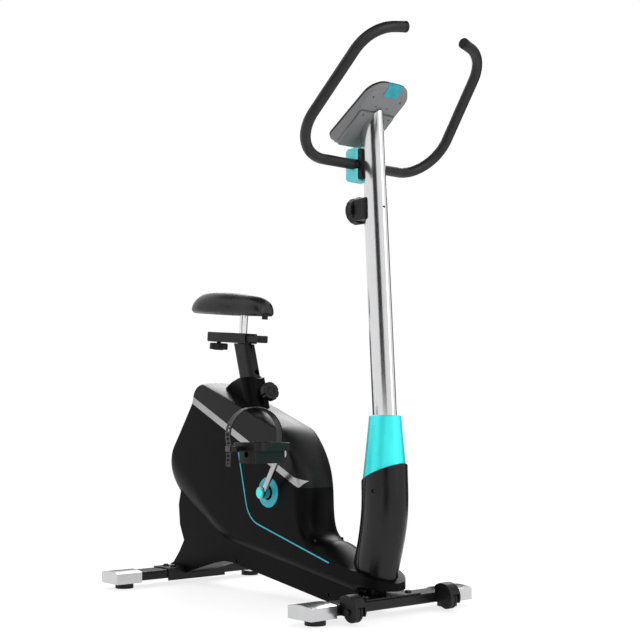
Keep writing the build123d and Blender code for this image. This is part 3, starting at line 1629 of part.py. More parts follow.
export_step(saddle_stem.part, "parts/saddle_stem.step")
saddle_pan.part.label = "saddle_pan"
export_step(saddle_pan.part, "parts/saddle_pan.step")
saddle_cushion.part.label = "saddle_cushion"
export_step(saddle_cushion.part, "parts/saddle_cushion.step")
axle_bearings.part.label = "axle_bearings"
export_step(axle_bearings.part, "parts/axle_bearings.step")
crank_axle.part.label = "crank_axle"
export_step(crank_axle.part, "parts/crank_axle.step")
crank_arm_right.part.label = "crank_arm_right"
export_step(crank_arm_right.part, "parts/crank_arm_right.step")
crank_arm_left.part.label = "crank_arm_left"
export_step(crank_arm_left.part, "parts/crank_arm_left.step")
crank_caps.part.label = "crank_caps"
export_step(crank_caps.part, "parts/crank_caps.step")
pedal_right.part.label = "pedal_right"
export_step(pedal_right.part, "parts/pedal_right.step")
pedal_left.part.label = "pedal_left"
export_step(pedal_left.part, "parts/pedal_left.step")
strap_right.part.label = "strap_right"
export_step(strap_right.part, "parts/strap_right.step")
strap_left.part.label = "strap_left"
export_step(strap_left.part, "parts/strap_left.step")
drive_pulley.part.label = "drive_pulley"
export_step(drive_pulley.part, "parts/drive_pulley.step")
flywheel_disc.part.label = "flywheel_disc"
export_step(flywheel_disc.part, "parts/flywheel_disc.step")
flywheel_axle.part.label = "flywheel_axle"
export_step(flywheel_axle.part, "parts/flywheel_axle.step")
belt.part.label = "belt"
export_step(belt.part, "parts/belt.step")
idler_wheel.part.label = "idler_wheel"
export_step(idler_wheel.part, "parts/idler_wheel.step")
idler_bracket.part.label = "idler_bracket"
export_step(idler_bracket.part, "parts/idler_bracket.step")
magnet_bracket.part.label = "magnet_bracket"
export_step(magnet_bracket.part, "parts/magnet_bracket.step")
wheel_brackets.part.label = "wheel_brackets"
export_step(wheel_brackets.part, "parts/wheel_brackets.step")
wheel_bolts.part.label = "wheel_bolts"
export_step(wheel_bolts.part, "parts/wheel_bolts.step")
transport_wheel_right.part.label = "transport_wheel_right"
export_step(transport_wheel_right.part, "parts/transport_wheel_right.step")
transport_wheel_left.part.label = "transport_wheel_left"
export_step(transport_wheel_left.part, "parts/transport_wheel_left.step")
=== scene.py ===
import json
from math import atan2, cos, pi, radians, sin

import bmesh
import bpy
from mathutils import Matrix, Vector
from mathutils.bvhtree import BVHTree

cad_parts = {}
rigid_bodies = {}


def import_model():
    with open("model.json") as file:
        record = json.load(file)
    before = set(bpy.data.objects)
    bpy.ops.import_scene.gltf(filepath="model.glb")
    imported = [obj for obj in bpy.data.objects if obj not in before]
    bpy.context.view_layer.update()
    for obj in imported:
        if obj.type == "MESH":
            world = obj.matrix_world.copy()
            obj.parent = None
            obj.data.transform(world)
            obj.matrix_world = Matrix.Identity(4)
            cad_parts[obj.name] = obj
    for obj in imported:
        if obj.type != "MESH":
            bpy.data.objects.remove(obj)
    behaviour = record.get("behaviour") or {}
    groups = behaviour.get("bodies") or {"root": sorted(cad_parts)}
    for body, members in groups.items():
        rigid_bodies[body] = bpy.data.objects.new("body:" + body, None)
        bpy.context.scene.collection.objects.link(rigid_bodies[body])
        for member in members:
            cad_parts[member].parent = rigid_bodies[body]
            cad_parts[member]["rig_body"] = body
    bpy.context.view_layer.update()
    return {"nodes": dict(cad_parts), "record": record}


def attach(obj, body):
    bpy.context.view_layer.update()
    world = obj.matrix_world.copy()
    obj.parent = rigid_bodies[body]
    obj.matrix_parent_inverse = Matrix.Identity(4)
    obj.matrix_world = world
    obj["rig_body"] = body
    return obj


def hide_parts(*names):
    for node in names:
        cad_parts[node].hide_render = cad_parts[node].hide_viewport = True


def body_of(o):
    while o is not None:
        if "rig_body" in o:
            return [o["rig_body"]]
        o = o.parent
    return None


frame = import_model()
scene = bpy.context.scene
nodes = frame["nodes"]


# Materials
class Surface:
    """A procedural material, and a short way to add nodes to it."""

    def __init__(self, name, colour, roughness, metallic=0.0, specular=0.5):
        self.material = bpy.data.materials.new(name)
        self.material.use_nodes = True
        self.tree = self.material.node_tree
        self.shader = self.tree.nodes["Principled BSDF"]
        self.set("Base Color", (*colour, 1))
        self.set("Roughness", roughness)
        self.set("Metallic", metallic)
        self.set("Specular IOR Level", specular)

    def set(self, socket, value):
        self.shader.inputs[socket].default_value = value

    def node(self, kind, **settings):
        made = self.tree.nodes.new(kind)
        for key, value in settings.items():
            setattr(made, key, value)
        return made

    def join(self, source, target):
        self.tree.links.new(source, target)

    def place(self, stretch=(1, 1, 1)):
        where = self.node("ShaderNodeTexCoord")
        mapping = self.node("ShaderNodeMapping")
        mapping.inputs["Scale"].default_value = stretch
        self.join(where.outputs["Object"], mapping.inputs["Vector"])
        return mapping.outputs["Vector"]

    def noise(self, scale, detail=3.0, stretch=(1, 1, 1)):
        made = self.node("ShaderNodeTexNoise")
        made.inputs["Scale"].default_value = scale
        made.inputs["Detail"].default_value = detail
        self.join(self.place(stretch), made.inputs["Vector"])
        return made.outputs["Fac"]

    def cells(self, scale, feature="F1"):
        made = self.node("ShaderNodeTexVoronoi", feature=feature)
        made.inputs["Scale"].default_value = scale
        self.join(self.place(), made.inputs["Vector"])
        return made.outputs["Distance"]

    def span(self, source, low, high, start=0.3, end=0.7):
        made = self.node("ShaderNodeMapRange")
        made.inputs["From Min"].default_value = start
        made.inputs["From Max"].default_value = end
        made.inputs["To Min"].default_value = low
        made.inputs["To Max"].default_value = high
        self.join(source, made.inputs["Value"])
        return made.outputs["Result"]

    def rough(self, source, low, high):
        self.join(self.span(source, low, high), self.shader.inputs["Roughness"])

    def tint(self, source, dark, light, start=0.3, end=0.7):
        made = self.node("ShaderNodeMix", data_type="RGBA")
        made.inputs[6].default_value = (*dark, 1)
        made.inputs[7].default_value = (*light, 1)
        self.join(self.span(source, 0, 1, start, end), made.inputs[0])
        self.join(made.outputs[2], self.shader.inputs["Base Color"])

    def bump(self, *layers):
        """Each layer is a height source, its depth in metres and its strength."""
        below = None
        for source, depth, strength in layers:
            made = self.node("ShaderNodeBump")
            made.inputs["Distance"].default_value = depth
            made.inputs["Strength"].default_value = strength
            self.join(source, made.inputs["Height"])
            if below is not None:
                self.join(below, made.inputs["Normal"])
            below = made.outputs["Normal"]
        self.join(below, self.shader.inputs["Normal"])


def shade(colour, share):
    return tuple(min(1.0, part * share) for part in colour)


def moulded(
    name, colour, roughness, grain=2200, depth=0.00005, specular=0.35, spread=0.07, stain=0.15, wave=0.05,
):
    """Moulded plastic: eroded tool grain, slow changes of gloss, faint handling marks."""
    made = Surface(name, colour, roughness, specular=specular)
    fine = made.noise(grain, 2)
    slow = made.noise(9, 4)
    made.rough(slow, roughness - spread, roughness + spread)
    made.tint(made.noise(38, 5), shade(colour, 1 - stain), shade(colour, 1 + stain))
    made.bump((made.noise(26, 3), 0.0004, wave), (fine, depth, 0.5))
    return made


def turned(name, colour, roughness, stretch, spread=0.06, depth=0.00002, stain=0.1):
    """Metal with the fine lines of drawing, turning or polishing along one way."""
    made = Surface(name, colour, roughness, metallic=1.0)
    lines = made.noise(900, 3, stretch)
    made.rough(lines, roughness - spread, roughness + spread)
    made.tint(made.noise(22, 4), shade(colour, 1 - stain), shade(colour, 1 + 0.7 * stain))
    made.bump((lines, depth, 0.3))
    return made


def coated(name, colour, roughness, specular=0.4):
    """Powder coat: orange peel with tiny pits and rubbed patches."""
    made = Surface(name, colour, roughness, specular=specular)
    peel = made.noise(520, 2)
    made.rough(made.noise(16, 5), roughness - 0.08, roughness + 0.1)
    made.tint(made.noise(60, 6), shade(colour, 0.8), shade(colour, 1.3))
    made.bump((peel, 0.00006, 0.45), (made.cells(1500), 0.00002, 0.3))
    return made


def rubbery(name, colour, roughness, grain, depth=0.00006):
    """Rubber: open matt grain and a bloom of dust."""
    made = Surface(name, colour, roughness, specular=0.3)
    made.rough(made.noise(30, 4), roughness - 0.08, roughness + 0.1)
    made.tint(made.noise(75, 6), shade(colour, 0.75), shade(colour, 1.5))
    made.bump((made.noise(grain, 4), depth, 0.6), (made.cells(grain * 0.7), depth * 0.6, 0.35))
    return made


shell = moulded("shell_moulding", (0.0021, 0.0021, 0.0022), 0.34, specular=0.06)
boot = moulded("boot_moulding", (0.0026, 0.0026, 0.0027), 0.25, 2600, 0.00002, 0.34, spread=0.04)
hood = moulded("hood_moulding", (0.0034, 0.0034, 0.0035), 0.38, 2600, 0.00002, 0.2, spread=0.05)
cap = moulded("cap_coating", (0.58, 0.58, 0.59), 0.19, 3000, 0.000006, 0.6, 0.015, stain=0.03, wave=0.008)
cap.set("Metallic", 0.92)
teal = moulded("teal_moulding", (0.050, 0.88, 0.88), 0.34, 2600, 0.00001, 0.5, 0.02, stain=0.03, wave=0.015)
teal.set("Metallic", 0.5)
teal_paint = moulded("teal_paint", (0.024, 0.41, 0.48), 0.34, 2600, 0.00002, 0.35)
cover_teal = moulded("clamp_cover_moulding", (0.13, 0.64, 0.69), 0.36, 1500, 0.00003, 0.4, stain=0.08)
tab_teal = moulded("console_tab_moulding", (0.018, 0.30, 0.36), 0.42, 1100, 0.00008, 0.3, stain=0.2)
fittings = moulded("fitting_moulding", (0.0045, 0.0045, 0.0047), 0.38, 1500, 0.00006, 0.3)
bezel = moulded("bezel_moulding", (0.007, 0.007, 0.0075), 0.2, 3000, 0.00001, 0.5, spread=0.03)
frame_paint = coated("frame_coat", (0.0042, 0.0042, 0.0044), 0.38, specular=0.26)
post = turned(
    "post_lacquer", (0.70, 0.70, 0.71), 0.17, (1, 1, 0.006), spread=0.02, depth=0.0000015, stain=0.03,
)
chrome = turned("chrome", (0.80, 0.80, 0.81), 0.12, (1, 1, 0.3), spread=0.03, depth=0.000008)
trim = turned("trim_chrome", (0.40, 0.40, 0.405), 0.22, (0.05, 1, 0.05), spread=0.04)
arm_chrome = turned("arm_chrome", (0.42, 0.42, 0.43), 0.16, (1, 1, 0.3), spread=0.03, depth=0.000008)
steel = turned("turned_steel", (0.50, 0.50, 0.51), 0.28, (1, 0.05, 1))
dark_steel = turned("blackened_steel", (0.035, 0.035, 0.037), 0.36, (1, 0.2, 1))
rubber = rubbery("foot_rubber", (0.0055, 0.0055, 0.0058), 0.55, 1300)
strap_rubber = rubbery("strap_rubber", (0.0024, 0.0024, 0.0026), 0.34, 1700, depth=0.00002)
strap_rubber.set("Specular IOR Level", 0.12)
grip = rubbery("grip_sleeve", (0.0060, 0.0060, 0.0064), 0.4, 2400, depth=0.00002)
grip.set("Specular IOR Level", 0.42)

console_grey = moulded("console_moulding", (0.17, 0.172, 0.175), 0.5, grain=1100, depth=0.00009)
console_grey.tint(console_grey.noise(1500, 2), (0.12, 0.121, 0.123), (0.25, 0.252, 0.256))

iron = turned("flywheel_iron", (0.20, 0.20, 0.205), 0.4, (1, 0.02, 1), spread=0.1, depth=0.00005)
iron.tint(iron.noise(45, 6), (0.12, 0.105, 0.095), (0.25, 0.25, 0.255))

belt_rubber = rubbery("belt_rubber", (0.011, 0.011, 0.011), 0.6, 1900)

display = Surface("display_window", (0.012, 0.016, 0.017), 0.1, specular=0.6)
display.rough(display.noise(40, 4), 0.06, 0.16)
display.tint(display.noise(14, 2), (0.009, 0.012, 0.013), (0.017, 0.022, 0.023))
display.set("Coat Weight", 0.6)

cover = Surface("seat_cover", (0.0055, 0.0055, 0.006), 0.26, specular=0.5)
cover.rough(cover.noise(18, 4), 0.21, 0.31)
cover.tint(cover.noise(120, 5), (0.0050, 0.0050, 0.0055), (0.0085, 0.0085, 0.009))
cover.bump(
    (cover.noise(36, 3), 0.0010, 0.08),
    (cover.cells(620, "SMOOTH_F1"), 0.00015, 0.22),
    (cover.noise(2400, 2), 0.00003, 0.2),
)

# Painted shade: a near-black look whose thin discs stand for the shadow inside small holes
hole_shade_look = moulded("recess_shadow", (0.003, 0.003, 0.003), 0.7, specular=0.1)
mark = moulded("dial_mark", (0.42, 0.43, 0.44), 0.5, grain=2800, depth=0.00002)
screen = moulded("display_screen", (0.20, 0.24, 0.22), 0.35, grain=2800, depth=0.00001)

slot_looks = {
    "frame_steel": frame_paint, "post_silver": post, "shell_black": shell, "hood_black": hood,
    "cap_silver": cap, "trim_chrome": trim, "teal": teal, "rubber_black": rubber, "grip_foam": grip,
    "crank_chrome": chrome, "steel": steel, "flywheel_iron": iron, "console_grey": console_grey,
    "console_black": bezel, "display": display, "plastic_black": fittings, "seat_cover": cover,
    "strap": strap_rubber,
}
node_slot = {}
for subpart in frame["record"]["subparts"]:
    node_slot[subpart["node"]] = subpart["material_slot"]
for name, node in nodes.items():
    node.data.materials.clear()
    node.data.materials.append(slot_looks[node_slot[name]].material)
own_looks = {
    "belt": belt_rubber, "boot_right": boot, "boot_left": boot,
    "dome_nuts": dark_steel, "wheel_bolts": dark_steel,
    "crank_arm_right": arm_chrome, "crank_arm_left": arm_chrome,
    "accent_lines": teal_paint, "crank_rings": teal_paint,
    "console_tab": tab_teal, "clamp_cover": cover_teal,
}
for name, look in own_looks.items():
    nodes[name].data.materials[0] = look.material


# Mesh helpers
def finished(name, mesh, look, body, smooth=True):
    """Puts a bmesh into the scene as a piece that rides on a body."""
    data = bpy.data.meshes.new(name)
    mesh.to_mesh(data)
    mesh.free()
    piece = bpy.data.objects.new(name, data)
    scene.collection.objects.link(piece)
    data.materials.append(look.material)
    for face in data.polygons:
        face.use_smooth = smooth
    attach(piece, body)
    return piece


def upright(origin, axis, up=(0, 0, 1)):
    """The matrix that turns local Z to an axis at a point."""
    z = Vector(axis).normalized()
    x = Vector(up).cross(z)
    if x.length < 1e-4:
        x = Vector((1, 0, 0))
    x.normalize()
    y = z.cross(x)
    turn = Matrix((x, y, z)).transposed().to_4x4()
    return Matrix.Translation(origin) @ turn


def lathe(mesh, profile, place, steps=40):
    """Adds a closed turned form; the profile is radius and height pairs from axis to axis."""
    rings = []
    for radius, height in profile:
        if radius < 1e-6:
            rings.append([mesh.verts.new(place @ Vector((0, 0, height)))])
            continue
        ring = []
        for step in range(steps):
            angle = 2 * pi * step / steps
            ring.append(mesh.verts.new(place @ Vector((radius * cos(angle), radius * sin(angle), height))))
        rings.append(ring)
    for lower, upper in zip(rings, rings[1:]):
        for step in range(steps):
            after = (step + 1) % steps
            corners = [lower[step % len(lower)], lower[after % len(lower)]]
            corners += [upper[after % len(upper)], upper[step % len(upper)]]
            unique = list(dict.fromkeys(corners))
            if len(unique) > 2:
                mesh.faces.new(unique)


def cross_head(mesh, place, radius, height):
    """Adds a domed screw head with a cross recess."""
    count = 16
    rows = []
    for i in range(count + 1):
        row = []
        for j in range(count + 1):
            u, v = 2 * i / count - 1, 2 * j / count - 1
            x, y = u * (1 - v * v / 2) ** 0.5, v * (1 - u * u / 2) ** 0.5
            far = (x * x + y * y) ** 0.5
            z = height * (1 - 0.55 * far * far)
            arm = min(abs(x), abs(y))
            if arm < 0.13 and far < 0.62:
                z -= 0.6 * height
            row.append(mesh.verts.new(place @ Vector((radius * x, radius * y, z))))
        rows.append(row)
    for i in range(count):
        for j in range(count):
            mesh.faces.new((rows[i][j], rows[i + 1][j], rows[i + 1][j + 1], rows[i][j + 1]))
    rim = [rows[i][0] for i in range(count)] + [rows[count][j] for j in range(count)]
    rim += [rows[i][count] for i in range(count, 0, -1)] + [rows[0][j] for j in range(count, 0, -1)]
    low = []
    for vert in rim:
        flat = place.inverted() @ vert.co
        low.append(mesh.verts.new(place @ Vector((flat.x, flat.y, -0.2 * height))))
    for step in range(len(rim)):
        after = (step + 1) % len(rim)
        mesh.faces.new((rim[after], rim[step], low[step], low[after]))
    mesh.faces.new(low)


def slab(mesh, place, size, bevel):
    """Adds a box with rounded edges, its foot on the local XY plane."""
    made = bmesh.ops.create_cube(mesh, size=1)
    for vert in made["verts"]:
        vert.co = Vector((vert.co.x * size[0], vert.co.y * size[1], (vert.co.z + 0.5) * size[2]))
    edges = list({edge for vert in made["verts"] for edge in vert.link_edges})
    cut = bmesh.ops.bevel(mesh, geom=edges, offset=bevel, segments=2, affect="EDGES", profile=0.5)
    verts = {vert for face in cut["faces"] for vert in face.verts} | {v for v in made["verts"] if v.is_valid}
    bmesh.ops.transform(mesh, matrix=place, verts=list(verts))


ray_back = 0.05
far_back = 0.1
trees = {}


def touch(node, start, way):
    """Where a ray from a point first meets a CAD node."""
    if node not in trees:
        data = nodes[node].data
        trees[node] = BVHTree.FromPolygons([v.co for v in data.vertices], [p.vertices for p in data.polygons])
    hit = trees[node].ray_cast(Vector(start), Vector(way).normalized())
    return hit[0]


# Screws in the recesses of the housing, the boot and the console back
def screws(name, body, places, radius, height):
    mesh = bmesh.new()
    for node, start, way in places:
        spot = touch(node, start, way)
        if spot is None:
            continue
        cross_head(mesh, upright(spot, -Vector(way), (0.3, 0, 1)), radius, height)
    return finished(name, mesh, dark_steel, body)


shell_wells = [(0.122, 0.157), (-0.186, 0.082), (0.175, 0.033)]
places = []
for x, z in shell_wells:
    places.append(("housing_right", (x, -0.2, z), (0, 1, 0)))
    places.append(("housing_left", (x, 0.2, z), (0, -1, 0)))
places.append(("boot_right", (0.331, -0.2, 0.287), (0, 1, 0)))
places.append(("boot_left", (0.331, 0.2, 0.287), (0, -1, 0)))
screws("housing_screws", "frame", places, 0.0042, 0.0016)

tilt = radians(32.5)
back_tilt = radians(37.5)
console_up = Vector((cos(tilt), 0, sin(tilt)))
console_out = Vector((-sin(tilt), 0, cos(tilt)))
console_foot = Vector((0.1875, 0, 1.130))
rear_up = Vector((cos(back_tilt), 0, sin(back_tilt)))
rear_out = Vector((sin(back_tilt), 0, -cos(back_tilt)))
rear_foot = console_foot - console_out * 0.026
places = []
for y, up in ((-44, 164), (44, 164), (-42, 112), (42, 112), (-44, 6), (44, 6)):
    spot = rear_foot + rear_up * (up / 1000) + Vector((0, y / 1000, 0)) + rear_out * ray_back
    places.append(("console_back", spot, -rear_out))
screws("console_screws", "frame", places, 0.0022, 0.0009)

# Painted shade: thin near-black discs on the console back and on the post stand for the shadow inside small
# holes there
mesh = bmesh.new()
for y, up in ((-18, 140), (18, 140)):
    spot = rear_foot + rear_up * (up / 1000) + Vector((0, y / 1000, 0)) + rear_out * ray_back
    spot = touch("console_back", spot, -rear_out)
    lathe(mesh, [(0, 0.0004), (0.0016, 0.0004), (0.0018, -0.0006), (0, -0.0006)], upright(spot, rear_out))
post_way = Vector((-0.711, 0.684, 0.164))
spot = touch("front_post", Vector((0.3399, -0.02, 0.9487)) - post_way * 0.1, post_way)
lathe(mesh, [(0, 0.0004), (0.003, 0.0004), (0.0034, -0.001), (0, -0.001)], upright(spot, -post_way))
finished("hole_shade_dots", mesh, hole_shade_look, "frame")


# Discs set into the faces of the knobs
def knob_disc(name, node, body, start, way, radius):
    spot = touch(node, start, way)
    mesh = bmesh.new()
    profile = [
        (0, 0.0012), (0.62 * radius, 0.0012), (0.66 * radius, 0.0004), (0.72 * radius, 0.0004),
        (0.76 * radius, 0.0014), (0.94 * radius, 0.0014), (radius, 0.0006), (radius, -0.0008), (0, -0.0008),
    ]
    lathe(mesh, profile, upright(spot, -Vector(way)), 48)
    return finished(name, mesh, fittings, body)


lean = radians(16.4)
seat_out = Vector((cos(lean), 0, sin(lean)))
knob_spot = Vector((-0.11748, 0, 0.5191))
knob_disc("seat_knob_disc", "seat_knob", "seat_knob", knob_spot + seat_out * 0.2, -seat_out, 0.014)
drop = radians(4.57)
slide_up = Vector((sin(drop), 0, cos(drop)))
slide_knob_spot = Vector((-0.3315, 0, 0.65776))
knob_disc("slider_knob_disc", "slider_knob", "slider_knob", slide_knob_spot - slide_up * 0.2, slide_up, 0.014)
tension_spot = Vector((0.1, 0, 0.954))
knob_disc("tension_knob_disc", "tension_knob", "tension_knob", tension_spot, (1, 0, 0), 0.02)


# Marks round the tension knob, and its pointer
mark_reach = 0.0355
pointer_reach = 0.0255
mesh = bmesh.new()
for step in range(9):
    angle = radians(-60 + 300 * step / 8 - 180)
    way = Vector((0, cos(angle), sin(angle)))
    size = 0.0025 if step % 4 else 0.004
    spot = touch("tension_base", tension_spot + way * mark_reach, (1, 0, 0))
    if spot is not None:
        slab(mesh, upright(spot - Vector((0.0001, 0, 0)), (-1, 0, 0), way), (0.0009, size, 0.0003), 0.0001)
if mesh.verts:
    finished("tension_marks", mesh, mark, "frame")
else:
    mesh.free()
mesh = bmesh.new()
spot = touch("tension_knob", tension_spot + Vector((0, 0, pointer_reach)), (1, 0, 0))
slab(mesh, upright(spot, (-1, 0, 0)), (0.0022, 0.007, 0.0005), 0.0002)
finished("tension_pointer", mesh, mark, "tension_knob")


# Rider's side of the console: a panel laid on the window, and marks on the keys
window = console_foot + console_up * 0.120
mesh = bmesh.new()
spot = touch("display_lens", window + console_out * far_back, -console_out)
slab(mesh, upright(spot, console_out, (0, -1, 0)), (0.058, 0.052, 0.0003), 0.0001)
finished("display_screen", mesh, screen, "frame")
key_line = (0.0018, 0.008, 0.0003)
for end, side in (("right", -1), ("left", 1)):
    above = console_foot + console_up * 0.038 + Vector((0, side * 0.026, 0)) + console_out * far_back
    spot = touch("button_" + end, above, -console_out)
    mesh = bmesh.new()
    slab(mesh, upright(spot, console_out, (0, -1, 0)), key_line, 0.0001)
    if side > 0:
        slab(mesh, upright(spot, console_out, (1, 0, 0)), key_line, 0.0001)
    finished("key_mark_" + end, mesh, mark, "key_" + end)


# Toe straps with the ladder of holes that the buckle catches, and the buckles
arc_steps = 120
tail_steps = 26
first_hole_row = 96
hole_pitch = 5
solid_end_rows = 4


def strap_path():
    """Points and outward normals along a strap in its own plane, in metres."""
    first, top, last = Vector((-0.044, 0.0286)), Vector((0.020, 0.112)), Vector((0.084, 0.024))
    a, b = first - last, top - last
    cross = 2 * (a.x * b.y - a.y * b.x)
    middle = last + Vector((
        (b.y * a.length_squared - a.y * b.length_squared) / cross,
        (a.x * b.length_squared - b.x * a.length_squared) / cross,
    ))
    reach = (first - middle).length
    begin = atan2(first.y - middle.y, first.x - middle.x)
    if begin < 0:
        begin += 2 * pi
    end = atan2(last.y - middle.y, last.x - middle.x)
    points = []
    for step in range(arc_steps + 1):
        angle = begin + (end - begin) * step / arc_steps
        way = Vector((cos(angle), sin(angle)))
        points.append((middle + way * reach, way))
    tail = Vector((0.086, -0.028))
    along = (tail - last).normalized()
    for step in range(1, tail_steps + 1):
        points.append((last + (tail - last) * step / tail_steps, Vector((-along.y, along.x))))
    return points


def ladder_strap(name, node, place):
    """A strap with thinned edges and a row of holes, on the path of the CAD strap."""
    half, thick, hole = 0.017, 0.0012, 0.0075
    points = strap_path()
    columns = [-half, -half + 0.0012, -hole, hole, half - 0.0012, half]
    mesh = bmesh.new()
    rows = []
    for point, way in points:
        row = []
        for column, across in enumerate(columns):
            lift = thick * (0.55 if column in (0, 5) else 1.0)
            pair = []
            for side in (1, -1):
                flat = point + way * (side * lift)
                pair.append(mesh.verts.new(place @ Vector((flat.x, flat.y, across))))
            row.append(pair)
        rows.append(row)
    count = len(points)
    hole_rows = range(first_hole_row, count - solid_end_rows)
    open_rows = {i for i in hole_rows if (i - first_hole_row) % hole_pitch in (1, 2, 3)}
    for i in range(count - 1):
        for j in range(5):
            if j == 2 and i in open_rows:
                for k in (2, 3):
                    quad = (rows[i][k][0], rows[i + 1][k][0], rows[i + 1][k][1], rows[i][k][1])
                    mesh.faces.new(quad if k == 2 else quad[::-1])
                if i - 1 not in open_rows:
                    mesh.faces.new((rows[i][3][0], rows[i][2][0], rows[i][2][1], rows[i][3][1]))
                if i + 1 not in open_rows:
                    end = rows[i + 1]
                    mesh.faces.new((end[2][0], end[3][0], end[3][1], end[2][1]))
                continue
            mesh.faces.new((rows[i][j][0], rows[i + 1][j][0], rows[i + 1][j + 1][0], rows[i][j + 1][0]))
            mesh.faces.new((rows[i][j][1], rows[i][j + 1][1], rows[i + 1][j + 1][1], rows[i + 1][j][1]))
        for j in (0, 5):
            edge = (rows[i][j][0], rows[i][j][1], rows[i + 1][j][1], rows[i + 1][j][0])
            mesh.faces.new(edge if j == 0 else edge[::-1])
    for i, flip in ((0, False), (count - 1, True)):
        for j in range(5):
            edge = (rows[i][j][0], rows[i][j + 1][0], rows[i][j + 1][1], rows[i][j][1])
            mesh.faces.new(edge[::-1] if flip else edge)
    bmesh.ops.recalc_face_normals(mesh, faces=mesh.faces)
    piece = finished(name, mesh, strap_rubber, body_of(nodes[node])[0], smooth=False)
    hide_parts(node)
    return piece


def strap_buckle(name, node, place):
    """The frame that the strap's tail passes through, on the end of the pedal's lug."""
    mesh = bmesh.new()
    for reach, across, size in (
        (0.0876, 0, (0.0022, 0.032)), (0.0765, 0, (0.0120, 0.030)),
        (0.0815, 0.0186, (0.0110, 0.0024)), (0.0815, -0.0186, (0.0110, 0.0024)),
    ):
        block = place @ Matrix.Translation((reach, 0.0075, across)) @ Matrix.Rotation(-pi / 2, 4, "X")
        slab(mesh, block, (size[0], size[1], 0.0125), 0.0008)
    bmesh.ops.recalc_face_normals(mesh, faces=mesh.faces)
    return finished(name, mesh, fittings, body_of(nodes[node])[0], smooth=False)


strap_turn = radians(16)
for end, side, eye in (("right", -1, (0.07347, 0.36737)), ("left", 1, (-0.14947, 0.16663))):
    reach_way = Vector((-sin(strap_turn), side * cos(strap_turn), 0))
    across_way = Vector((side * cos(strap_turn), sin(strap_turn), 0))
    turn = Matrix((reach_way, (0, 0, 1), across_way)).transposed().to_4x4()
    place = Matrix.Translation((eye[0], side * 0.170, eye[1])) @ turn
    ladder_strap("strap_ladder_" + end, "strap_" + end, place)
    strap_buckle("strap_buckle_" + end, "strap_" + end, place)


# Saddle: the cover swells over its foam and is held along the pan
voxel = 0.0045
held_band = 0.006
free_band = 0.014
swell_limit = 0.003
top_rise = 0.003
crown_drop = 0.014
crown_half_width = 0.11


def apply_all(piece):
    bpy.context.view_layer.objects.active = piece
    for made in list(piece.modifiers):
        bpy.ops.object.modifier_apply(modifier=made.name)


def saddle_cover():
    source = nodes["saddle_cushion"]
    piece = bpy.data.objects.new("saddle_cover", source.data.copy())
    scene.collection.objects.link(piece)
    piece.select_set(True)
    remesh = piece.modifiers.new("even", "REMESH")
    remesh.mode = "VOXEL"
    remesh.voxel_size = voxel
    apply_all(piece)
    data = piece.data
    start = [vert.co.copy() for vert in data.vertices]
    low = min(point.dot(slide_up) for point in start)
    held = piece.vertex_groups.new(name="held")
    held.add([i for i, point in enumerate(start) if point.dot(slide_up) < low + held_band], 1.0, "REPLACE")
    stuffing = piece.modifiers.new("stuffing", "CLOTH")
    stuffing.settings.use_pressure = True
    stuffing.settings.uniform_pressure_force = 4
    stuffing.settings.vertex_group_mass = "held"
    stuffing.settings.effector_weights.gravity = 0
    for step in range(1, 21):
        scene.frame_set(step)
    graph = bpy.context.evaluated_depsgraph_get()
    blown = [vert.co.copy() for vert in piece.evaluated_get(graph).data.vertices]
    piece.modifiers.clear()
    scene.frame_set(1)
    for vert, before, after in zip(data.vertices, start, blown):
        move = after - before
        if move.length > swell_limit:
            move.length = swell_limit
        vert.co = before + move
    mesh = bmesh.new()
    mesh.from_mesh(data)
    top = max(vert.co.dot(slide_up) for vert in mesh.verts)
    free = [vert for vert in mesh.verts if vert.co.dot(slide_up) > low + free_band]
    every_way = {"use_axis_x": True, "use_axis_y": True, "use_axis_z": True}
    for _ in range(26):
        bmesh.ops.smooth_vert(mesh, verts=free, factor=0.5, **every_way)
    for _ in range(6):
        bmesh.ops.smooth_vert(mesh, verts=mesh.verts, factor=0.5, **every_way)
    sunk = top + top_rise - max(vert.co.dot(slide_up) for vert in mesh.verts)
    for vert in mesh.verts:
        level = max(0.0, min(1.0, (vert.co.dot(slide_up) - low) / (top - low)))
        aside = vert.co.y / crown_half_width
        vert.co += slide_up * (level * (sunk - crown_drop * aside * aside))
    mesh.to_mesh(data)
    mesh.free()
    data.materials.clear()
    data.materials.append(cover.material)
    for face in data.polygons:
        face.use_smooth = True
    finer = piece.modifiers.new("finer", "SUBSURF")
    finer.levels = 1
    finer.render_levels = 1
    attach(piece, "saddle")
    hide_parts("saddle_cushion")
    return piece


saddle_cover()


# Floor, light and camera
def shows_white(tree):
    """A factor of one for rays from the camera, from shiny surfaces and through clear ones."""
    path = tree.nodes.new("ShaderNodeLightPath")
    factor = path.outputs["Is Camera Ray"]
    for kind in ("Is Glossy Ray", "Is Transmission Ray"):
        either = tree.nodes.new("ShaderNodeMath")
        either.operation = "MAXIMUM"
        tree.links.new(factor, either.inputs[0])
        tree.links.new(path.outputs[kind], either.inputs[1])
        factor = either.outputs[0]
    return factor


floor_mesh = bmesh.new()
bmesh.ops.create_circle(floor_mesh, cap_ends=True, segments=96, radius=1.8)
floor_data = bpy.data.meshes.new("floor")
floor_mesh.to_mesh(floor_data)
floor_mesh.free()
floor = bpy.data.objects.new("floor", floor_data)
scene.collection.objects.link(floor)
floor_look = Surface("floor_paper", (0.86, 0.86, 0.86), 0.9, specular=0.1)
floor_look.bump((floor_look.noise(300, 3), 0.0002, 0.05))
glow = floor_look.node("ShaderNodeEmission")
glow.inputs["Strength"].default_value = 1.06
reach = floor_look.node("ShaderNodeVectorMath", operation="LENGTH")
floor_look.join(floor_look.place(), reach.inputs[0])
fade = floor_look.span(reach.outputs["Value"], 0.74, 1.0, 0.7, 1.5)
share = floor_look.node("ShaderNodeMath", operation="MULTIPLY")
floor_look.join(shows_white(floor_look.tree), share.inputs[0])
floor_look.join(fade, share.inputs[1])
mixed = floor_look.node("ShaderNodeMixShader")
floor_look.join(share.outputs[0], mixed.inputs[0])
